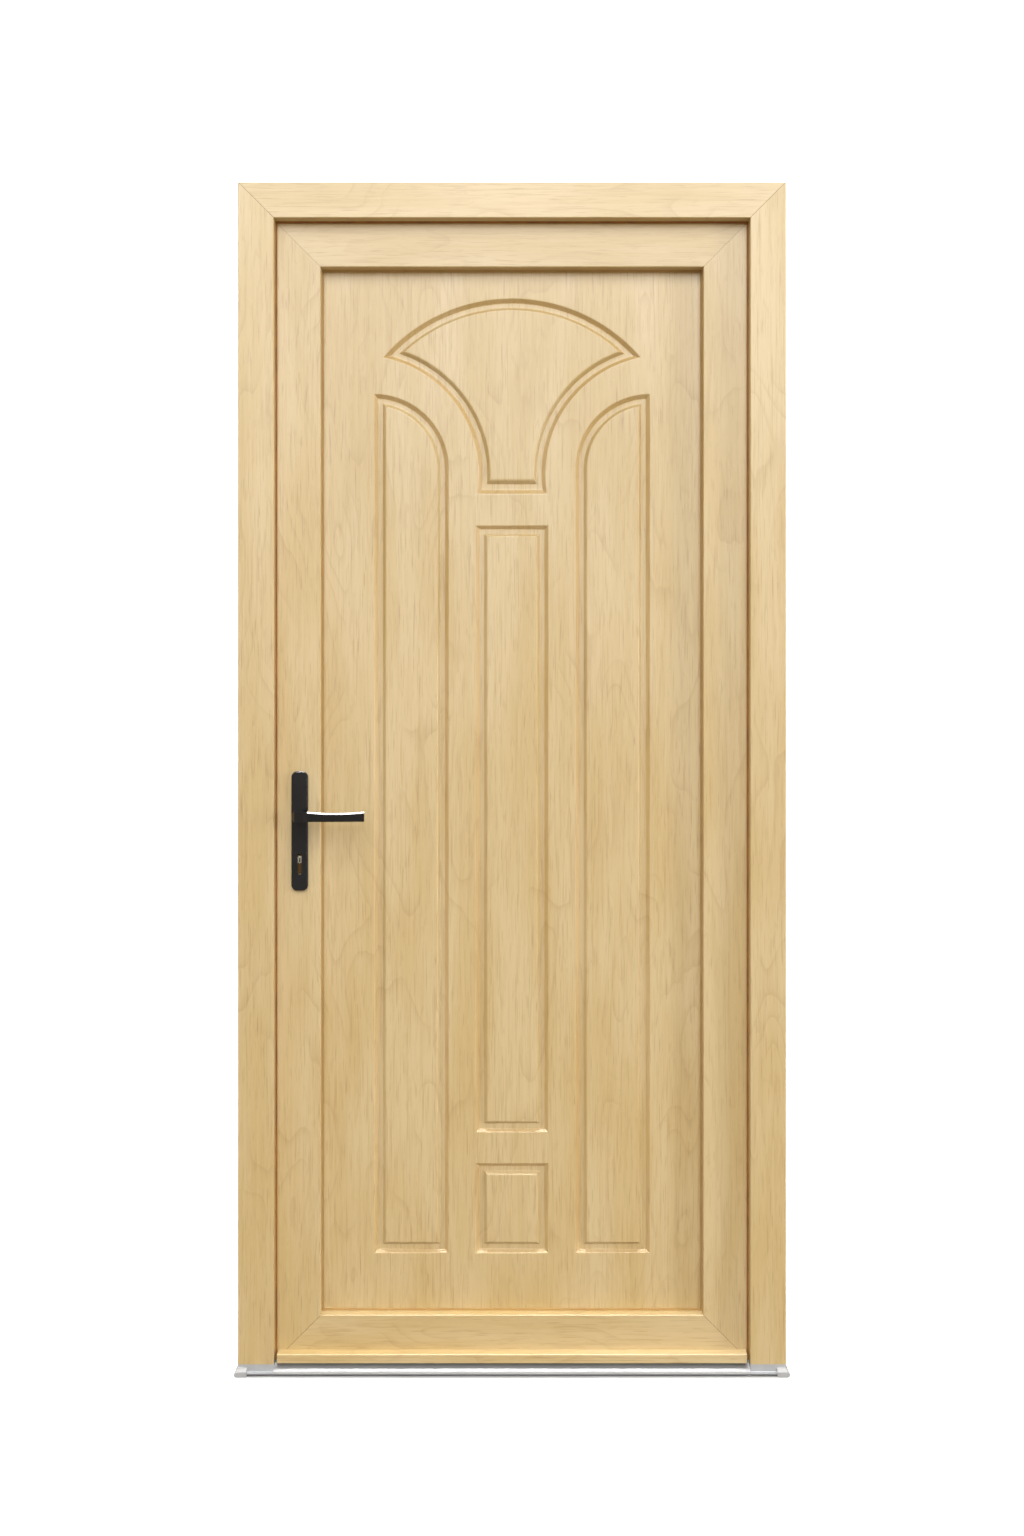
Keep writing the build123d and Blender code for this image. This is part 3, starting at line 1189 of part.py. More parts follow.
def sash(screws):
    area = (SASH_HALF, FOOT_LINE, SASH_HEAD, SASH_Y)
    section = sash_section(0, MAIN_CHAMBER_START) - hardware_groove()
    rail_chamber = BOTTOM_TRIM + PROFILE_WALL
    lock_stile, top_rail, hinge_stile, _ = ring(section, *area)
    bottom_rail = ring(sash_section(BOTTOM_TRIM, rail_chamber), *area)[3]
    lock_steel, top_steel, hinge_steel, _ = ring(sash_steel_section(MAIN_CHAMBER_START), *area)
    bottom_steel = ring(sash_steel_section(rail_chamber), *area)[3]
    sawn = sawn_foot()
    steel_end = block((-SASH_HALF, SASH_HALF), (SASH_Y, SASH_ROOM_Y), (FOOT_LINE, SASH_FOOT))
    lock_stile -= sawn
    hinge_stile -= sawn
    lock_steel -= steel_end
    hinge_steel -= steel_end
    lock_cuts = [hardware_cut(), *screws[:len(FACEPLATE_SCREWS)]]
    hinge_cuts = screws[len(FACEPLATE_SCREWS):]
    save("sash_stile_lock", cut_each(lock_stile, lock_cuts))
    save("sash_stile_hinge", cut_each(hinge_stile, hinge_cuts))
    save("sash_rail_top", top_rail)
    save("sash_rail_bottom", bottom_rail)
    save("sash_steel_lock", cut_each(lock_steel, lock_cuts))
    save("sash_steel_hinge", cut_each(hinge_steel, hinge_cuts))
    save("sash_steel_top", top_steel)
    save("sash_steel_bottom", bottom_steel)
    save("sash_gasket", joined(ring(sash_gasket_section(), SASH_HALF, SASH_FOOT, SASH_HEAD, SASH_Y)))
    save("panel_gasket", joined(ring(panel_gasket_section(), *area)))
    beads = ring(
        bead_section(), SASH_HALF - SASH_REBATE, FOOT_LINE + SASH_REBATE, SASH_HEAD - SASH_REBATE, PANEL_ROOM_Y
    )
    for name, bead in zip(("left", "top", "right", "bottom"), beads):
        save(f"glazing_bead_{name}", bead)


os.makedirs("parts", exist_ok=True)
frame_screw_set = frame_screws()
sash_screw_set = sash_screws()
frame(frame_screw_set)
sash(sash_screw_set)
panel()
packers()
threshold()
drip_bar()
backplates()
handle()
cylinder_screw_z = cylinder()
faceplate(cylinder_screw_z)
slide_bar()
lock_case(cylinder_screw_z)
follower()
latch()
deadbolt()
strike()
keeper("lower", LOWER_STUD_Z)
keeper("upper", UPPER_STUD_Z)
for hinge_name, hinge_z in HINGE_HEIGHTS.items():
    hinge(hinge_name, hinge_z)
save("hinge_pins", *[hinge_pin(z) for z in HINGE_HEIGHTS.values()])
save("frame_screws", *frame_screw_set)
save("sash_screws", *sash_screw_set)
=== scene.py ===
import json
from math import asin, atan2, cos, pi, radians, sin, sqrt

import bpy
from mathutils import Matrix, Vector


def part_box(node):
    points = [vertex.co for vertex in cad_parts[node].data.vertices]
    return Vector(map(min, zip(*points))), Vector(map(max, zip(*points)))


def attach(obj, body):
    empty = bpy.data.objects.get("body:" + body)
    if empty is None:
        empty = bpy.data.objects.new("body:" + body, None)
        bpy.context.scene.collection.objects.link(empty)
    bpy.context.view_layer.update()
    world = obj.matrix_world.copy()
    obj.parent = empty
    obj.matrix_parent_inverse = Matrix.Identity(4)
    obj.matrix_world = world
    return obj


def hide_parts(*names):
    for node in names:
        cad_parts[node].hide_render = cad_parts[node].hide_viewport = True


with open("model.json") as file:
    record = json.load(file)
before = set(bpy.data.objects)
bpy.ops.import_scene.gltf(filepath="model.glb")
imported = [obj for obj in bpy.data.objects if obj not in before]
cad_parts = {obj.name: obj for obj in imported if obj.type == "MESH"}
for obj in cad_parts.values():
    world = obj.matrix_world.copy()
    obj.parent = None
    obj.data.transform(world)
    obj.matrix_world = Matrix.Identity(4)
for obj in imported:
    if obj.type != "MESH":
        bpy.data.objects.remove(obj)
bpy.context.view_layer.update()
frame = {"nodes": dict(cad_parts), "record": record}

# Panelled front door in its frame, seen from outside. Metres, +Z up, the outside faces -Y.
MM = 0.001
BODY_OF = {node: body for body, nodes in frame["record"]["behaviour"]["bodies"].items() for node in nodes}
SLOT_OF = {part["node"]: part["material_slot"] for part in frame["record"]["subparts"]}


# Colours

def screen(red, green, blue):
    """A colour as a screen shows it, from 0 to 255, as the light that it stands for."""
    def light(level):
        share = level / 255
        return share / 12.92 if share <= 0.04045 else ((share + 0.055) / 1.055) ** 2.4
    return (light(red), light(green), light(blue), 1.0)


# The foil's inks, and the painted shade for the panel's groove walls

GROUND = screen(196, 173, 127)
GROUND_WARM = screen(188, 162, 108)
FLAME = screen(160, 128, 78)
STREAK = screen(168, 137, 87)
PALE_STREAK = screen(196, 172, 128)
PORE = screen(138, 105, 62)
# Painted shade: the panel skin's groove walls are multiplied by this tint, the outer walls most, where the
# real grooves lie in shade.
GROOVE_PAINTED_SHADE = (1.0, 0.94, 0.86, 1.0)
PAINTED_WALL_SHADE = "painted_groove_wall_shade"


# Finishes

class Value:
    """A number that varies over a surface. Arithmetic on it adds Math nodes."""

    def __init__(self, finish, socket):
        self.finish = finish
        self.socket = socket

    def maths(self, operation, *others):
        return self.finish.maths(operation, self, *others)

    def __add__(self, other):
        return self.maths("ADD", other)

    def __sub__(self, other):
        return self.maths("SUBTRACT", other)

    def __mul__(self, other):
        return self.maths("MULTIPLY", other)

    def __radd__(self, other):
        return self.finish.maths("ADD", other, self)

    def __rsub__(self, other):
        return self.finish.maths("SUBTRACT", other, self)

    def __rmul__(self, other):
        return self.finish.maths("MULTIPLY", other, self)

    def power(self, exponent):
        return self.maths("POWER", exponent)

    def fraction(self):
        return self.maths("FRACT")

    def step(self, low, high):
        """0 below low, 1 above high and smooth between them."""
        node = self.finish.add(
            "ShaderNodeMapRange", {"interpolation_type": "SMOOTHSTEP"},
            {"Value": self, "From Min": low, "From Max": high},
        )
        return Value(self.finish, node.outputs["Result"])


class Finish:
    """One material, whose nodes are all made by add."""

    def __init__(self, name):
        self.material = bpy.data.materials.new(name)
        self.material.use_nodes = True
        self.tree = self.material.node_tree
        self.shader = self.tree.nodes["Principled BSDF"]

    def add(self, kind, settings=None, inputs=None):
        node = self.tree.nodes.new(kind)
        for name, setting in (settings or {}).items():
            setattr(node, name, setting)
        for name, given in (inputs or {}).items():
            self.feed(node.inputs[name], given)
        return node

    def feed(self, socket, given):
        if isinstance(given, Value):
            self.tree.links.new(given.socket, socket)
        else:
            socket.default_value = given

    def maths(self, operation, *terms):
        node = self.add("ShaderNodeMath", {"operation": operation}, dict(enumerate(terms)))
        return Value(self, node.outputs[0])

    def point(self, scale=(1, 1, 1), shift=(0, 0, 0)):
        """Where a point of the piece is, stretched for a pattern."""
        place = self.add("ShaderNodeTexCoord").outputs["Object"]
        node = self.add(
            "ShaderNodeMapping", {}, {"Vector": Value(self, place), "Scale": scale, "Location": shift}
        )
        return Value(self, node.outputs[0])

    def noise(self, point, detail=2.0, roughness=0.5, distortion=0.0):
        node = self.add("ShaderNodeTexNoise", {}, {
            "Vector": point, "Scale": 1.0, "Detail": detail, "Roughness": roughness, "Distortion": distortion,
        })
        return Value(self, node.outputs[0])

    def mix(self, share, first, second, blend="MIX"):
        node = self.add(
            "ShaderNodeMix", {"data_type": "RGBA", "blend_type": blend}, {0: share, 6: first, 7: second}
        )
        return Value(self, node.outputs[2])

    def bump(self, height, depth, strength=1.0):
        node = self.add("ShaderNodeBump", {}, {"Height": height, "Distance": depth, "Strength": strength})
        return Value(self, node.outputs[0])

    def surface(self, **sockets):
        """Feeds the shader: a word per socket, with _ for a space."""
        for name, given in sockets.items():
            self.feed(self.shader.inputs[name.replace("_", " ")], given)
        return self.material


def oak_foil(name, along, shift, with_painted_groove_shade=False):
    """Light oak foil with an embossed grain along one axis. The shift picks the stretch of print."""
    oak = Finish(name)

    def field(across, length, detail=2.0, roughness=0.5, distortion=0.0, more=0.0):
        """A noise with so many waves to the metre across the grain, and so many along its length."""
        scale = tuple(length if axis == along else across for axis in "XYZ")
        place = tuple(shift + more + step for step in (0.0, 3.1, 7.3))
        return oak.noise(oak.point(scale, place), detail, roughness, distortion)

    plank = field(8.5, 2.6, 1.0, 0.4, 0.25)
    rings = (plank * 12.0 + field(70.0, 14.0, 1.0, more=2.0) * 0.3).fraction()
    patches = field(11.0, 6.0, 1.0, more=61.0).step(0.42, 0.6)
    flame = rings.power(6.0) * (1.0 - rings.step(0.94, 1.0)) * patches
    tone = field(13.0, 2.2, 2.0, more=11.0)
    streak = field(210.0, 6.0, 3.0, 0.6, more=5.0)
    fibre = field(950.0, 26.0, 2.0, 0.6, more=17.0)
    hairs = field(430.0, 11.0, 1.0, 0.5, 0.3, more=53.0).step(0.6, 0.74)
    wisps = field(170.0, 24.0, 2.0, 0.5, 0.8, more=41.0).step(0.56, 0.72)
    pores = field(560.0, 20.0, 0.0, more=23.0).step(0.7, 0.8)
    flecks = field(240.0, 60.0, 1.0, more=31.0).step(0.62, 0.78)
    colour = oak.mix(tone.step(0.35, 0.65), GROUND, GROUND_WARM)
    colour = oak.mix(flame * 0.45, colour, FLAME)
    colour = oak.mix(streak.step(0.45, 0.75) * 0.3, colour, STREAK)
    colour = oak.mix((1.0 - streak).step(0.5, 0.75) * 0.3, colour, PALE_STREAK)
    colour = oak.mix(wisps * 0.22, colour, FLAME)
    colour = oak.mix(fibre.step(0.5, 0.8) * 0.12, colour, PORE)
    colour = oak.mix(hairs * 0.55, colour, STREAK)
    colour = oak.mix(pores * 0.35, colour, PORE)
    colour = oak.mix(flecks * 0.25, colour, PALE_STREAK)
    # Painted shade darkens the groove walls of the panel skin.
    if with_painted_groove_shade:
        wall = Value(oak, oak.add("ShaderNodeAttribute", {"attribute_name": PAINTED_WALL_SHADE}).outputs["Fac"])
        colour = oak.mix(wall, colour, GROOVE_PAINTED_SHADE, "MULTIPLY")
    height = fibre * 0.6 + streak * 0.4 - pores * 0.8
    return oak.surface(
        Base_Color=colour,
        Roughness=0.36 + fibre * 0.1,
        Normal=oak.bump(height, 0.06 * MM, 0.4),
        Specular_IOR_Level=1.0,
    )


# Drawn lines in metal, in waves to the metre along and across them
LINE_LENGTH_RATE = 8.0
LINE_RATE = 900.0
LINE_DEPTH = 0.02 * MM


def metal(name, tint, roughness, along, tarnish=0.12, shine=1.0):
    """Drawn or plated metal, with fine lines along one axis and a faint cloudiness."""
    finish = Finish(name)
    scale = tuple(LINE_LENGTH_RATE if axis == along else LINE_RATE for axis in "XYZ")
    lines = finish.noise(finish.point(scale), 2.0, 0.6)
    clouds = finish.noise(finish.point((22.0, 22.0, 22.0)), 3.0, 0.55)
    dark = tuple(level * (1 - tarnish * 2) for level in tint[:3]) + (1.0,)
    return finish.surface(
        Base_Color=finish.mix(clouds.step(0.35, 0.7) * 0.5 + lines * 0.2, tint, dark),
        Metallic=shine,
        Roughness=roughness - 0.06 + lines * 0.1 + clouds * 0.06,
        Normal=finish.bump(lines, LINE_DEPTH, 0.4),
    )


def galvanised(name):
    """Zinc coated steel with its spangle."""
    finish = Finish(name)
    cells = finish.add("ShaderNodeTexVoronoi", {}, {"Vector": finish.point((90.0, 90.0, 90.0)), "Scale": 1.0})
    spangle = Value(finish, cells.outputs["Color"])
    grey = finish.add("ShaderNodeRGBToBW", {}, {"Color": spangle})
    level = Value(finish, grey.outputs[0])
    return finish.surface(
        Base_Color=finish.mix(level, screen(158, 163, 168), screen(196, 200, 204)),
        Metallic=1.0,
        Roughness=0.34 + level * 0.16,
    )


def moulded(name, tint, shade, roughness, grain=1400.0, depth=0.03 * MM, **more):
    """Moulded plastic, rubber, foam or lacquer: a fine all-round grain and a faint mottle."""
    finish = Finish(name)
    fine = finish.noise(finish.point((grain, grain, grain)), 2.0, 0.5)
    mottle = finish.noise(finish.point((30.0, 30.0, 30.0)), 3.0, 0.5)
    return finish.surface(
        Base_Color=finish.mix(mottle.step(0.3, 0.7), tint, shade),
        Roughness=roughness - 0.04 + fine * 0.08,
        Normal=finish.bump(fine, depth, 0.5),
        **more,
    )


def gloss_black(name):
    return moulded(
        name, screen(10, 10, 12), screen(15, 16, 17), 0.14, 700.0, 0.004 * MM,
        Coat_Weight=0.25, Coat_Roughness=0.06, Specular_IOR_Level=0.35,
    )


# Oak pieces: the node, the foil's name, the axis of its grain and the stretch of print
OAK_PIECES = (
    ("frame_jamb_left", "left jamb", "Z", 1.0),
    ("frame_jamb_right", "right jamb", "Z", 4.7),
    ("frame_head", "head", "X", 9.2),
    ("sash_stile_lock", "lock stile", "Z", 14.1),
    ("sash_stile_hinge", "hinge stile", "Z", 19.6),
    ("sash_rail_top", "top rail", "X", 24.3),
    ("sash_rail_bottom", "bottom rail", "X", 28.8),
    ("drip_bar", "drip bar", "X", 33.5),
    ("panel_skin_outer", "outer panel", "Z", 38.9),
    ("panel_skin_inner", "inner panel", "Z", 43.4),
    ("glazing_bead_left", "left bead", "Z", 47.2),
    ("glazing_bead_right", "right bead", "Z", 51.8),
    ("glazing_bead_top", "top bead", "X", 55.5),
    ("glazing_bead_bottom", "bottom bead", "X", 59.3),
)
OWN_FINISHES = {
    node: oak_foil(f"oak foil {name}", along, shift, with_painted_groove_shade=node == "panel_skin_outer")
    for node, name, along, shift in OAK_PIECES
}
OWN_FINISHES.update({
    # Partly painted light: the panel's gasket is a pale tan that stands in for the lit edge round the panel.
    "panel_gasket": moulded("tan panel gasket with painted light", screen(176, 142, 86), screen(168, 132, 78), 0.7),
    # Painted shade and dark reflection: the cylinder's brass is made far darker than brass, so the keyhole
    # reads dark between its glints.
    "cylinder_body": metal("dark brass cylinder with painted shade", screen(112, 88, 54), 0.18, "Y"),
    "lever_outer": gloss_black("gloss black outer lever"),
    "lever_inner": gloss_black("gloss black inner lever"),
})
FINISHES = {
    "galvanised_steel": galvanised("galvanised steel"),
    "mill_aluminium": metal("satin aluminium", screen(176, 178, 181), 0.4, "X", tarnish=0.04, shine=0.6),
    "grey_plastic": moulded("grey plastic", screen(166, 166, 167), screen(158, 158, 159), 0.5),
    # Partly painted light: brown rubber, made a light warm caramel to stand in for light bounced off the oak
    # into the seams.
    "seal_rubber": moulded("seal rubber with painted bounce light", screen(152, 100, 38), screen(130, 82, 30), 0.7),
    "lock_steel": metal("plated lock steel", screen(205, 207, 210), 0.3, "Z"),
    "nickel_brass": metal("nickel plated brass", screen(214, 210, 198), 0.2, "Y"),
    "black_lacquer": moulded(
        "satin black lacquer", screen(16, 17, 19), screen(22, 23, 26), 0.22, 900.0, 0.01 * MM,
        Coat_Weight=0.15, Coat_Roughness=0.1, Specular_IOR_Level=0.35,
    ),
    "hinge_brown": moulded("brown powder coat", screen(112, 80, 48), screen(102, 72, 42), 0.42, 1100.0),
    "foam_core": moulded("foam core", screen(240, 234, 214), screen(232, 224, 200), 0.9, 700.0, 0.3 * MM),
    "packer_plastic": moulded("blue packer plastic", screen(52, 92, 150), screen(46, 84, 140), 0.45),
}

# Painted shadow: dark grey on the faces of the slot under the sill's nose, where there is only shade.
RECESS_PAINTED_SHADOW = moulded("painted shadow in drip recess", screen(58, 59, 61), screen(50, 51, 53), 0.6)
WELD_LINE = moulded("weld line in the foil", screen(104, 78, 44), screen(88, 64, 36), 0.6)
MITRED = (
    "frame_jamb_left", "frame_jamb_right", "frame_head",
    "sash_stile_lock", "sash_stile_hinge", "sash_rail_top", "sash_rail_bottom",
)


def finish_of(node):
    """A node's own finish if it has one, or else the finish of its slot."""
    return OWN_FINISHES.get(node) or FINISHES[SLOT_OF[node]]


def wear(piece, material):
    piece.data.materials.clear()
    piece.data.materials.append(material)


# Modelling

def pick(*pieces):
    """Selects these pieces alone. The last one is active."""
    bpy.ops.object.select_all(action="DESELECT")
    for piece in pieces:
        piece.select_set(True)
        bpy.context.view_layer.objects.active = piece


def settle(piece):
    """Puts a piece's place into its mesh."""
    pick(piece)
    bpy.ops.object.transform_apply(location=True, rotation=True, scale=True)


def link(name, mesh):
    """A new piece with this mesh, in the scene."""
    piece = bpy.data.objects.new(name, mesh)
    bpy.context.scene.collection.objects.link(piece)
    return piece


def carry(piece, node):
    """Gives a piece the node's body, and lets it stand for the node."""
    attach(piece, BODY_OF[node])
    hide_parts(node)


def apply_modifier(piece, kind, **settings):
    pick(piece)
    modifier = piece.modifiers.new(kind.title(), kind)
    for name, setting in settings.items():
        setattr(modifier, name, setting)
    bpy.ops.object.modifier_apply(modifier=modifier.name)


def soften(piece, angle):
    """Shades a piece smoothly, with its flats true and its corners crisp."""
    pick(piece)
    bpy.ops.object.shade_smooth_by_angle(angle=radians(angle))
    apply_modifier(piece, "WEIGHTED_NORMAL", weight=100, keep_sharp=True)


MITRE_SLACK = 0.06
MITRE_LEAST_TILT = 0.35


def is_mitre(face):
    """Whether a face belongs to a corner cut at 45 degrees, or to that cut's rounded edge."""
    across = abs(face.normal.x)
    up = abs(face.normal.z)
    return abs(across - up) < MITRE_SLACK and across + up > MITRE_LEAST_TILT


# The narrow slot under the sill's nose
NOSE_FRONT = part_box("threshold_sill")[0].y
RECESS_FRONT = NOSE_FRONT + 0.3 * MM
RECESS_BACK = NOSE_FRONT + 4.0 * MM
RECESS_FOOT = 3.2 * MM
RECESS_HEAD = 5.6 * MM


def is_drip_recess(face):
    """Whether a face lies in the narrow slot under the sill's nose."""
    return RECESS_FRONT < face.center.y < RECESS_BACK and RECESS_FOOT < face.center.z < RECESS_HEAD


# Second finish of some nodes, and which faces have it: a weld line on each mitre, and painted shadow in the
# sill's recess
SECOND_FINISHES = {node: (WELD_LINE, is_mitre) for node in MITRED}
SECOND_FINISHES["threshold_sill"] = (RECESS_PAINTED_SHADOW, is_drip_recess)

SAME_POINT = 0.005 * MM
SAME_PLANE_ANGLE = 0.6
SHARP_EDGE_ANGLE = 28.0
ROUNDED_SHADE_ANGLE = 35.0


def rounded(node, width):
    """A copy of a node's mesh with its sharp edges rounded over."""
    piece = link(f"{node}_finished", frame["nodes"][node].data.copy())
    pick(piece)
    bpy.ops.object.mode_set(mode="EDIT")
    bpy.ops.mesh.select_all(action="SELECT")
    bpy.ops.mesh.remove_doubles(threshold=SAME_POINT)
    bpy.ops.mesh.dissolve_limited(angle_limit=radians(SAME_PLANE_ANGLE))
    bpy.ops.object.mode_set(mode="OBJECT")
    apply_modifier(
        piece, "BEVEL", width=width, segments=2, limit_method="ANGLE",
        angle_limit=radians(SHARP_EDGE_ANGLE), use_clamp_overlap=True, harden_normals=False,
    )
    soften(piece, ROUNDED_SHADE_ANGLE)
    wear(piece, finish_of(node))
    if node in SECOND_FINISHES:
        second, belongs = SECOND_FINISHES[node]
        piece.data.materials.append(second)
        for face in piece.data.polygons:
            face.material_index = 1 if belongs(face) else 0
    carry(piece, node)


# Moulded outer skin of the panel: the five fields, each with a groove round it

# The groove's section, from the rim inwards: millimetres in from the outline, millimetres deep, painted wall
# shade (how much the wall's colour is darkened to stand in for shade)
GROOVE_SECTION = (
    (-0.8, 0.0, 0.0), (0.0, 0.06, 0.0), (0.8, 0.32, 0.5), (1.6, 0.95, 1.0), (6.4, 6.1, 1.0), (7.2, 6.75, 0.6),
    (8.2, 7.0, 0.1), (15.2, 7.0, 0.0), (16.0, 6.75, 0.0), (16.6, 6.2, 0.0), (19.8, 1.7, 0.0),
    (20.6, 0.9, 0.0), (21.6, 0.32, 0.0), (22.6, 0.08, 0.0), (23.6, 0.0, 0.0),
)
RIM = GROOVE_SECTION[0][0] * MM
SKIN = 3.0 * MM
SAME_SKIN_POINT = 0.01 * MM
SKIN_SHADE_ANGLE = 30.0
CROWN_STEPS = 72
HOLLOW_STEPS = 48
ARCH_STEPS = 32
# How much further the fan's foot steps in than its sides do
FAN_FOOT_STEP = 1.22
PANEL_LOW, PANEL_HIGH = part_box("panel_skin_outer")
PANEL_FRONT = PANEL_LOW.y
CENTRE_HALF = 66.6 * MM
SIDE_INNER = 114.8 * MM
SIDE_OUTER = 251.2 * MM
FIELD_FOOT = 200.4 * MM
LOWER_FIELD_HEAD = 365.6 * MM
CENTRE_FOOT = 420.0 * MM
FAN_RADIUS = 310.0 * MM
FAN_SPRING = 1628.0 * MM
FAN_FOOT = 1581.5 * MM
CENTRE_HEAD = FAN_FOOT - 55.8 * MM
HOLLOW_X = 276.0 * MM
HOLLOW_Z = 1619.0 * MM
HOLLOW_RADIUS = 215.0 * MM


def arc(centre, radius, start, end, count):
    """Points of an arc from one angle to another, its end left out."""
    turns = [start + (end - start) * step / count for step in range(count)]
    return [(centre[0] + radius * cos(turn), centre[1] + radius * sin(turn)) for turn in turns]


def box_outline(foot, head):
    """A plain field. Each outline is stepped inwards by an offset."""
    def at(offset):
        half = CENTRE_HALF - offset
        low = foot + offset
        high = head - offset
        return [(-half, low), (half, low), (half, high), (-half, high)]
    return at


def arched_outline(side):
    """A tall field with a square corner outside and a quarter round that falls to the middle."""
    def at(offset):
        turn = SIDE_OUTER - SIDE_INNER - offset
        start = pi / 2 + asin(offset / turn)
        quarter = arc((SIDE_OUTER, FAN_SPRING), turn, start, pi, ARCH_STEPS)
        points = [
            (SIDE_INNER + offset, FAN_SPRING), (SIDE_INNER + offset, FIELD_FOOT + offset),
            (SIDE_OUTER - offset, FIELD_FOOT + offset), *quarter,
        ]
        return points if side > 0 else [(-x, z) for x, z in reversed(points)]
    return at


def fan_outline(offset):
    """Crown, left hollow, foot and right hollow, anticlockwise from the crown's right tip."""
    crown = FAN_RADIUS - offset
    hollow = HOLLOW_RADIUS + offset
    foot = FAN_FOOT + FAN_FOOT_STEP * offset
    centre = Vector((HOLLOW_X, HOLLOW_Z))
    spring = Vector((0.0, FAN_SPRING))
    gap = (centre - spring).length
    along = (crown ** 2 - hollow ** 2 + gap ** 2) / (2 * gap)
    towards = (centre - spring) / gap
    aside = Vector((-towards.y, towards.x)) * sqrt(crown ** 2 - along ** 2)
    tip = spring + towards * along + aside
    heel = Vector((HOLLOW_X - sqrt(hollow ** 2 - (foot - HOLLOW_Z) ** 2), foot))
    crown_turn = atan2(tip.y - FAN_SPRING, tip.x)
    tip_turn = atan2(tip.y - HOLLOW_Z, tip.x - HOLLOW_X)
    heel_turn = atan2(heel.y - HOLLOW_Z, heel.x - HOLLOW_X) % (2 * pi)
    left = (-HOLLOW_X, HOLLOW_Z)
    return [
        *arc((0, FAN_SPRING), crown, crown_turn, pi - crown_turn, CROWN_STEPS),
        *arc(left, hollow, pi - tip_turn, pi - heel_turn, HOLLOW_STEPS),
        (-heel.x, foot),
        *arc((HOLLOW_X, HOLLOW_Z), hollow, heel_turn, tip_turn, HOLLOW_STEPS),
    ]


def loop_of_edges(name, points):
    """A closed loop of edges on the panel's front plane."""
    mesh = bpy.data.meshes.new(name)
    corners = [(x, PANEL_FRONT, z) for x, z in points]
    mesh.from_pydata(corners, [(at, (at + 1) % len(corners)) for at in range(len(corners))], [])
    return link(name, mesh)


def moulded_field(name, outline_at):
    """One field with its groove: a soft wall down, a flat floor and a steeper wall up, its walls carrying
    painted shade.
    """
    corners = []
    faces = []
    painted_wall_shades = []
    for level, (offset, depth, shade) in enumerate(GROOVE_SECTION):
        points = outline_at(offset * MM)
        count = len(points)
        corners += [(x, PANEL_FRONT + depth * MM, z) for x, z in points]
        painted_wall_shades += [shade] * count
        if level:
            here = level * count
            for at in range(count):
                after = (at + 1) % count
                faces.append((here - count + at, here - count + after, here + after, here + at))
    last = (len(GROOVE_SECTION) - 1) * count
    faces.append(tuple(range(last, last + count)))
    mesh = bpy.data.meshes.new(name)
    mesh.from_pydata(corners, [], faces)
    # Painted shade per point of the groove, for the foil's colour.
    mesh.attributes.new(PAINTED_WALL_SHADE, "FLOAT", "POINT").data.foreach_set("value", painted_wall_shades)
    return link(name, mesh)


def panel_skin():
    """The whole outer skin: the fields set into flat ground, and given their thickness."""
    outlines = {
        "fan_field": fan_outline,
        "left_field": arched_outline(-1),
        "right_field": arched_outline(1),
        "centre_field": box_outline(CENTRE_FOOT, CENTRE_HEAD),
        "lower_field": box_outline(FIELD_FOOT, LOWER_FIELD_HEAD),
    }
    fields = [moulded_field(name, outline_at) for name, outline_at in outlines.items()]
    rims = [loop_of_edges(f"{name}_rim", outline_at(RIM)) for name, outline_at in outlines.items()]
    edge = loop_of_edges("panel_edge", [
        (PANEL_LOW.x, PANEL_LOW.z), (PANEL_HIGH.x, PANEL_LOW.z),
        (PANEL_HIGH.x, PANEL_HIGH.z), (PANEL_LOW.x, PANEL_HIGH.z),
    ])
    pick(*rims, edge)
    bpy.ops.object.join()
    ground = bpy.context.view_layer.objects.active
    bpy.ops.object.mode_set(mode="EDIT")
    bpy.ops.mesh.select_all(action="SELECT")
    bpy.ops.mesh.fill(use_beauty=True)
    bpy.ops.object.mode_set(mode="OBJECT")
    pick(*fields, ground)
    bpy.ops.object.join()
    skin = bpy.context.view_layer.objects.active
    skin.name = "moulded_panel_skin"
    bpy.ops.object.mode_set(mode="EDIT")
    bpy.ops.mesh.select_all(action="SELECT")
    bpy.ops.mesh.remove_doubles(threshold=SAME_SKIN_POINT)
    bpy.ops.mesh.normals_make_consistent(inside=False)
    bpy.ops.object.mode_set(mode="OBJECT")
    if max(skin.data.polygons, key=lambda face: face.area).normal.y > 0:
        skin.data.flip_normals()
    apply_modifier(skin, "SOLIDIFY", thickness=SKIN, offset=-1.0)
    soften(skin, SKIN_SHADE_ANGLE)
    wear(skin, finish_of("panel_skin_outer"))
    carry(skin, "panel_skin_outer")


# Everything on the door

panel_skin()

BEADS = tuple(f"glazing_bead_{side}" for side in ("left", "right", "top", "bottom"))
HINGE_LEAVES = tuple(
    f"hinge_{side}_leaf_{place}" for side in ("frame", "sash") for place in ("lower", "middle", "upper")
)
EDGE_WIDTHS = (
    (0.5 * MM, (*MITRED, "drip_bar", *BEADS)),
    (0.25 * MM, ("threshold_sill",)),
    (0.5 * MM, ("threshold_end_left", "threshold_end_right")),
    (1.4 * MM, ("backplate_outer", "backplate_inner")),
    (0.4 * MM, ("lever_outer", "lever_inner")),
    (0.3 * MM, ("cylinder_body", "cylinder_plug_outer", "lock_faceplate")),
    (0.4 * MM, ("strike_plate",)),
    (0.5 * MM, ("keeper_lower", "keeper_upper", *HINGE_LEAVES)),
    (0.4 * MM, ("latch_bolt",)),
    (0.3 * MM, ("deadbolt",)),
)
for edge_width, rounded_nodes in EDGE_WIDTHS:
    for node_name in rounded_nodes:
        rounded(node_name, edge_width)
for node_name, node_object in frame["nodes"].items():
    wear(node_object, finish_of(node_name))


# Studio

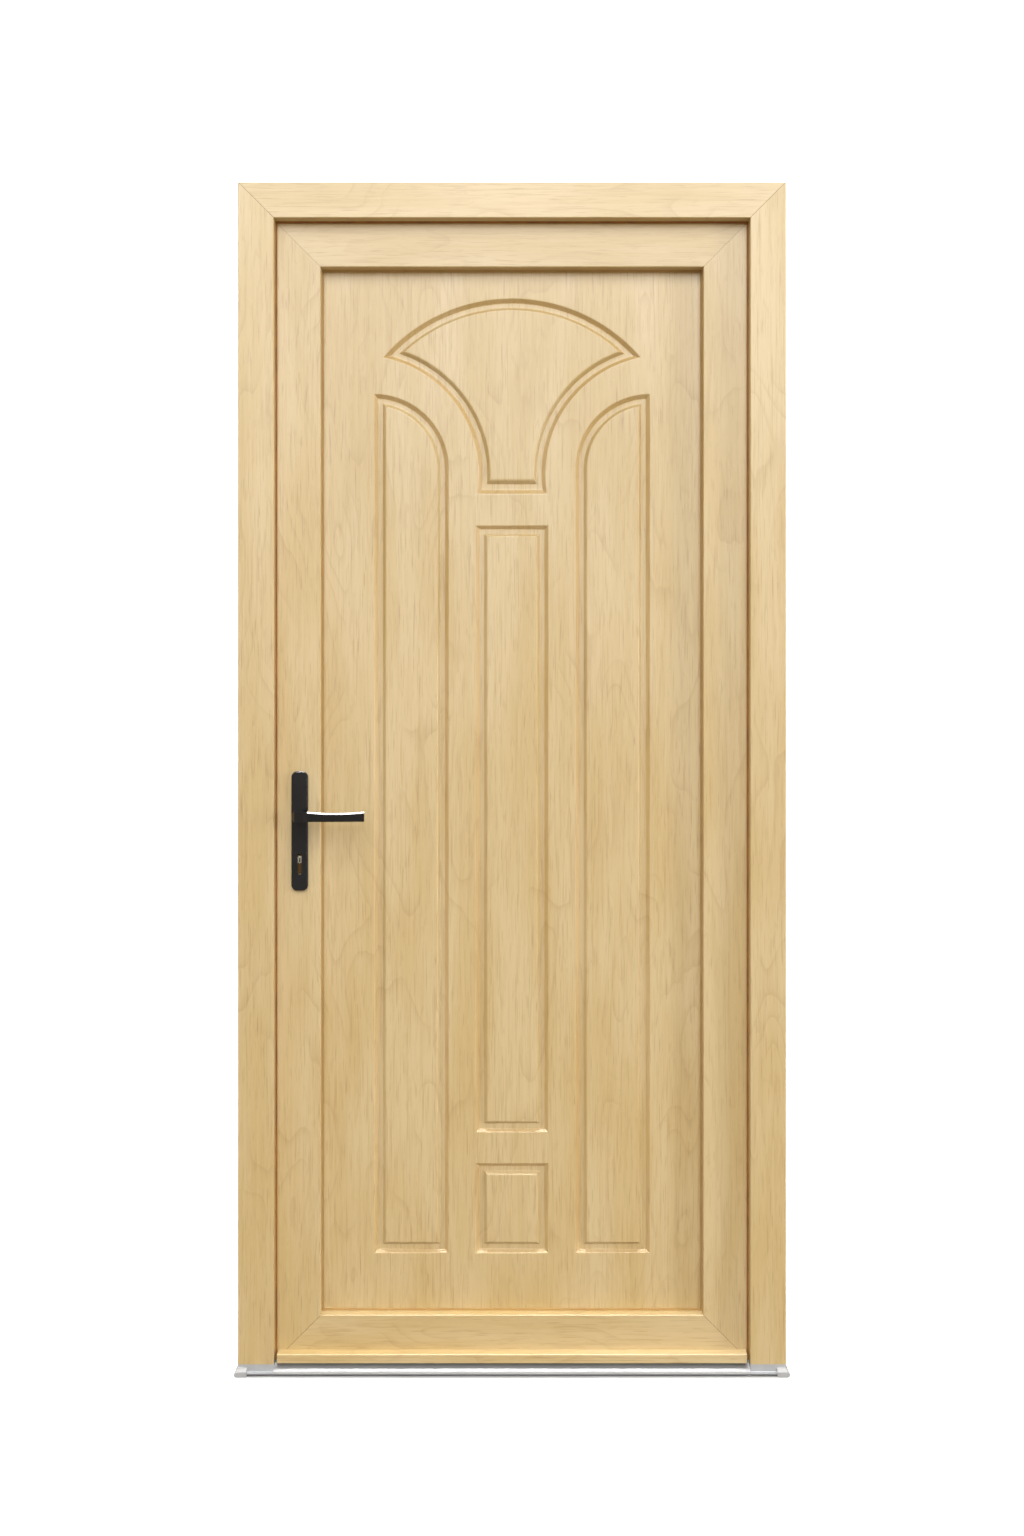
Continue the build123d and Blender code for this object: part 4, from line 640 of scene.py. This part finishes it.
STAGE_SIZE = 40.0
BACK_WALL_Y = 7.0
FAR_WALL = 19.9
FLOOR_GLOW = 0.6
WALL_GLOW = 0.95
WORLD_GLOW = 0.5
WORLD_TINT = (1.0, 0.88, 0.74, 1.0)
KEY_TINT = (0.93, 0.97, 1.0)
WHITE = (1.0, 1.0, 1.0)
NO_GLOW = (0.0, 0.0, 0.0, 1.0)
FULL_GLOW = (1.0, 1.0, 1.0, 1.0)


def stage_plane(name, material, place, turn=0.0, spin=0.0):
    """A flat part of the set, which colours nothing near it."""
    bpy.ops.object.select_all(action="DESELECT")
    bpy.ops.mesh.primitive_plane_add(size=STAGE_SIZE, location=place, rotation=(turn, 0, spin))
    plane = bpy.context.active_object
    plane.name = name
    settle(plane)
    wear(plane, material)
    plane.visible_diffuse = False
    plane.visible_glossy = False


def stage_set():
    """A pale floor whose glow fades out near the door, a painted contact shadow, with white walls far off
    round it.
    """
    floor = Finish("pale floor")
    dust = floor.noise(floor.point((3.0, 3.0, 3.0)), 2.0)
    reach = floor.add("ShaderNodeVectorMath", {"operation": "LENGTH"}, {0: floor.point((1.0, 1.8, 1.0))})
    # Painted contact shadow: the floor's glow is taken away close to the door.
    glow_outside_painted_shadow = Value(floor, reach.outputs["Value"]).step(0.05, 0.7)
    floor.surface(
        Base_Color=floor.mix(dust * 0.5, screen(226, 226, 226), screen(223, 223, 223)),
        Roughness=0.8,
        Emission_Color=floor.mix(glow_outside_painted_shadow, NO_GLOW, FULL_GLOW),
        Emission_Strength=FLOOR_GLOW,
    )
    wall = Finish("white wall")
    mottle = wall.noise(wall.point((0.5, 0.5, 0.5)), 2.0)
    wall.surface(
        Base_Color=wall.mix(mottle, screen(250, 250, 250), screen(247, 247, 247)),
        Roughness=0.9,
        Emission_Color=FULL_GLOW,
        Emission_Strength=WALL_GLOW,
    )
    upright = radians(90.0)
    stage_plane("studio_floor", floor.material, (0, 0, 0))
    stage_plane("studio_wall", wall.material, (0, BACK_WALL_Y, FAR_WALL), upright)
    stage_plane("studio_wall_near", wall.material, (0, -FAR_WALL, FAR_WALL), upright)
    stage_plane("studio_wall_left", wall.material, (-FAR_WALL, 0, FAR_WALL), upright, upright)
    stage_plane("studio_wall_right", wall.material, (FAR_WALL, 0, FAR_WALL), upright, upright)


def softbox(name, place, target, width, height, power, tint=WHITE):
    """A soft lamp that points at the target. The camera doesn't see it."""
    lamp = bpy.data.lights.new(name, "AREA")
    lamp.shape = "RECTANGLE"
    lamp.size = width
    lamp.size_y = height
    lamp.energy = power
    lamp.color = tint
    light = bpy.data.objects.new(name, lamp)
    light.location = place
    light.rotation_euler = (Vector(target) - Vector(place)).to_track_quat("-Z", "Y").to_euler()
    light.visible_camera = False
    bpy.context.scene.collection.objects.link(light)


def studio():
    """The set, an even warm surround, a tall key in front, and lamps above, beside and behind."""
    stage_set()
    world = bpy.data.worlds.new("studio surround")
    world.use_nodes = True
    world.node_tree.nodes["Background"].inputs["Color"].default_value = WORLD_TINT
    world.node_tree.nodes["Background"].inputs["Strength"].default_value = WORLD_GLOW
    bpy.context.scene.world = world
    softbox("key_softbox", (0.2, -13.9, 10.2), (0, 0, 1.1), 11.5, 13.0, 2650.0, KEY_TINT)
    softbox("top_softbox", (0.1, -0.4, 9.0), (0.1, -0.4, 0), 5.0, 0.7, 850.0)
    softbox("side_softbox", (9.2, -4.0, 1.8), (0, 0, 1.1), 1.6, 4.8, 400.0)
    softbox("room_softbox", (-0.7, 6.0, 5.5), (0, 0, 1.1), 5.0, 5.0, 400.0)
    bpy.context.scene.view_settings.view_transform = "Standard"


# Camera at the photograph's place. Its frame is 1024 by 1536 pixels. Lens and horizon are given in rows.
FRAME_ROWS = 1536
FOCAL_ROWS = 1567
HORIZON_ROW = 712
CAMERA_PLACE = (0.0, -2.835, 1.1856)
SENSOR = 36.0


def camera():
    """A level camera, with the lens shifted rather than tilted."""
    lens = bpy.data.cameras.new("camera")
    lens.sensor_fit = "VERTICAL"
    lens.sensor_height = SENSOR
    lens.lens = SENSOR * FOCAL_ROWS / FRAME_ROWS
    lens.shift_y = (HORIZON_ROW - FRAME_ROWS / 2) / FRAME_ROWS
    view = bpy.data.objects.new("camera", lens)
    view.location = CAMERA_PLACE
    view.rotation_euler = (radians(90.0), 0.0, 0.0)
    bpy.context.scene.collection.objects.link(view)
    bpy.context.scene.camera = view


studio()
camera()
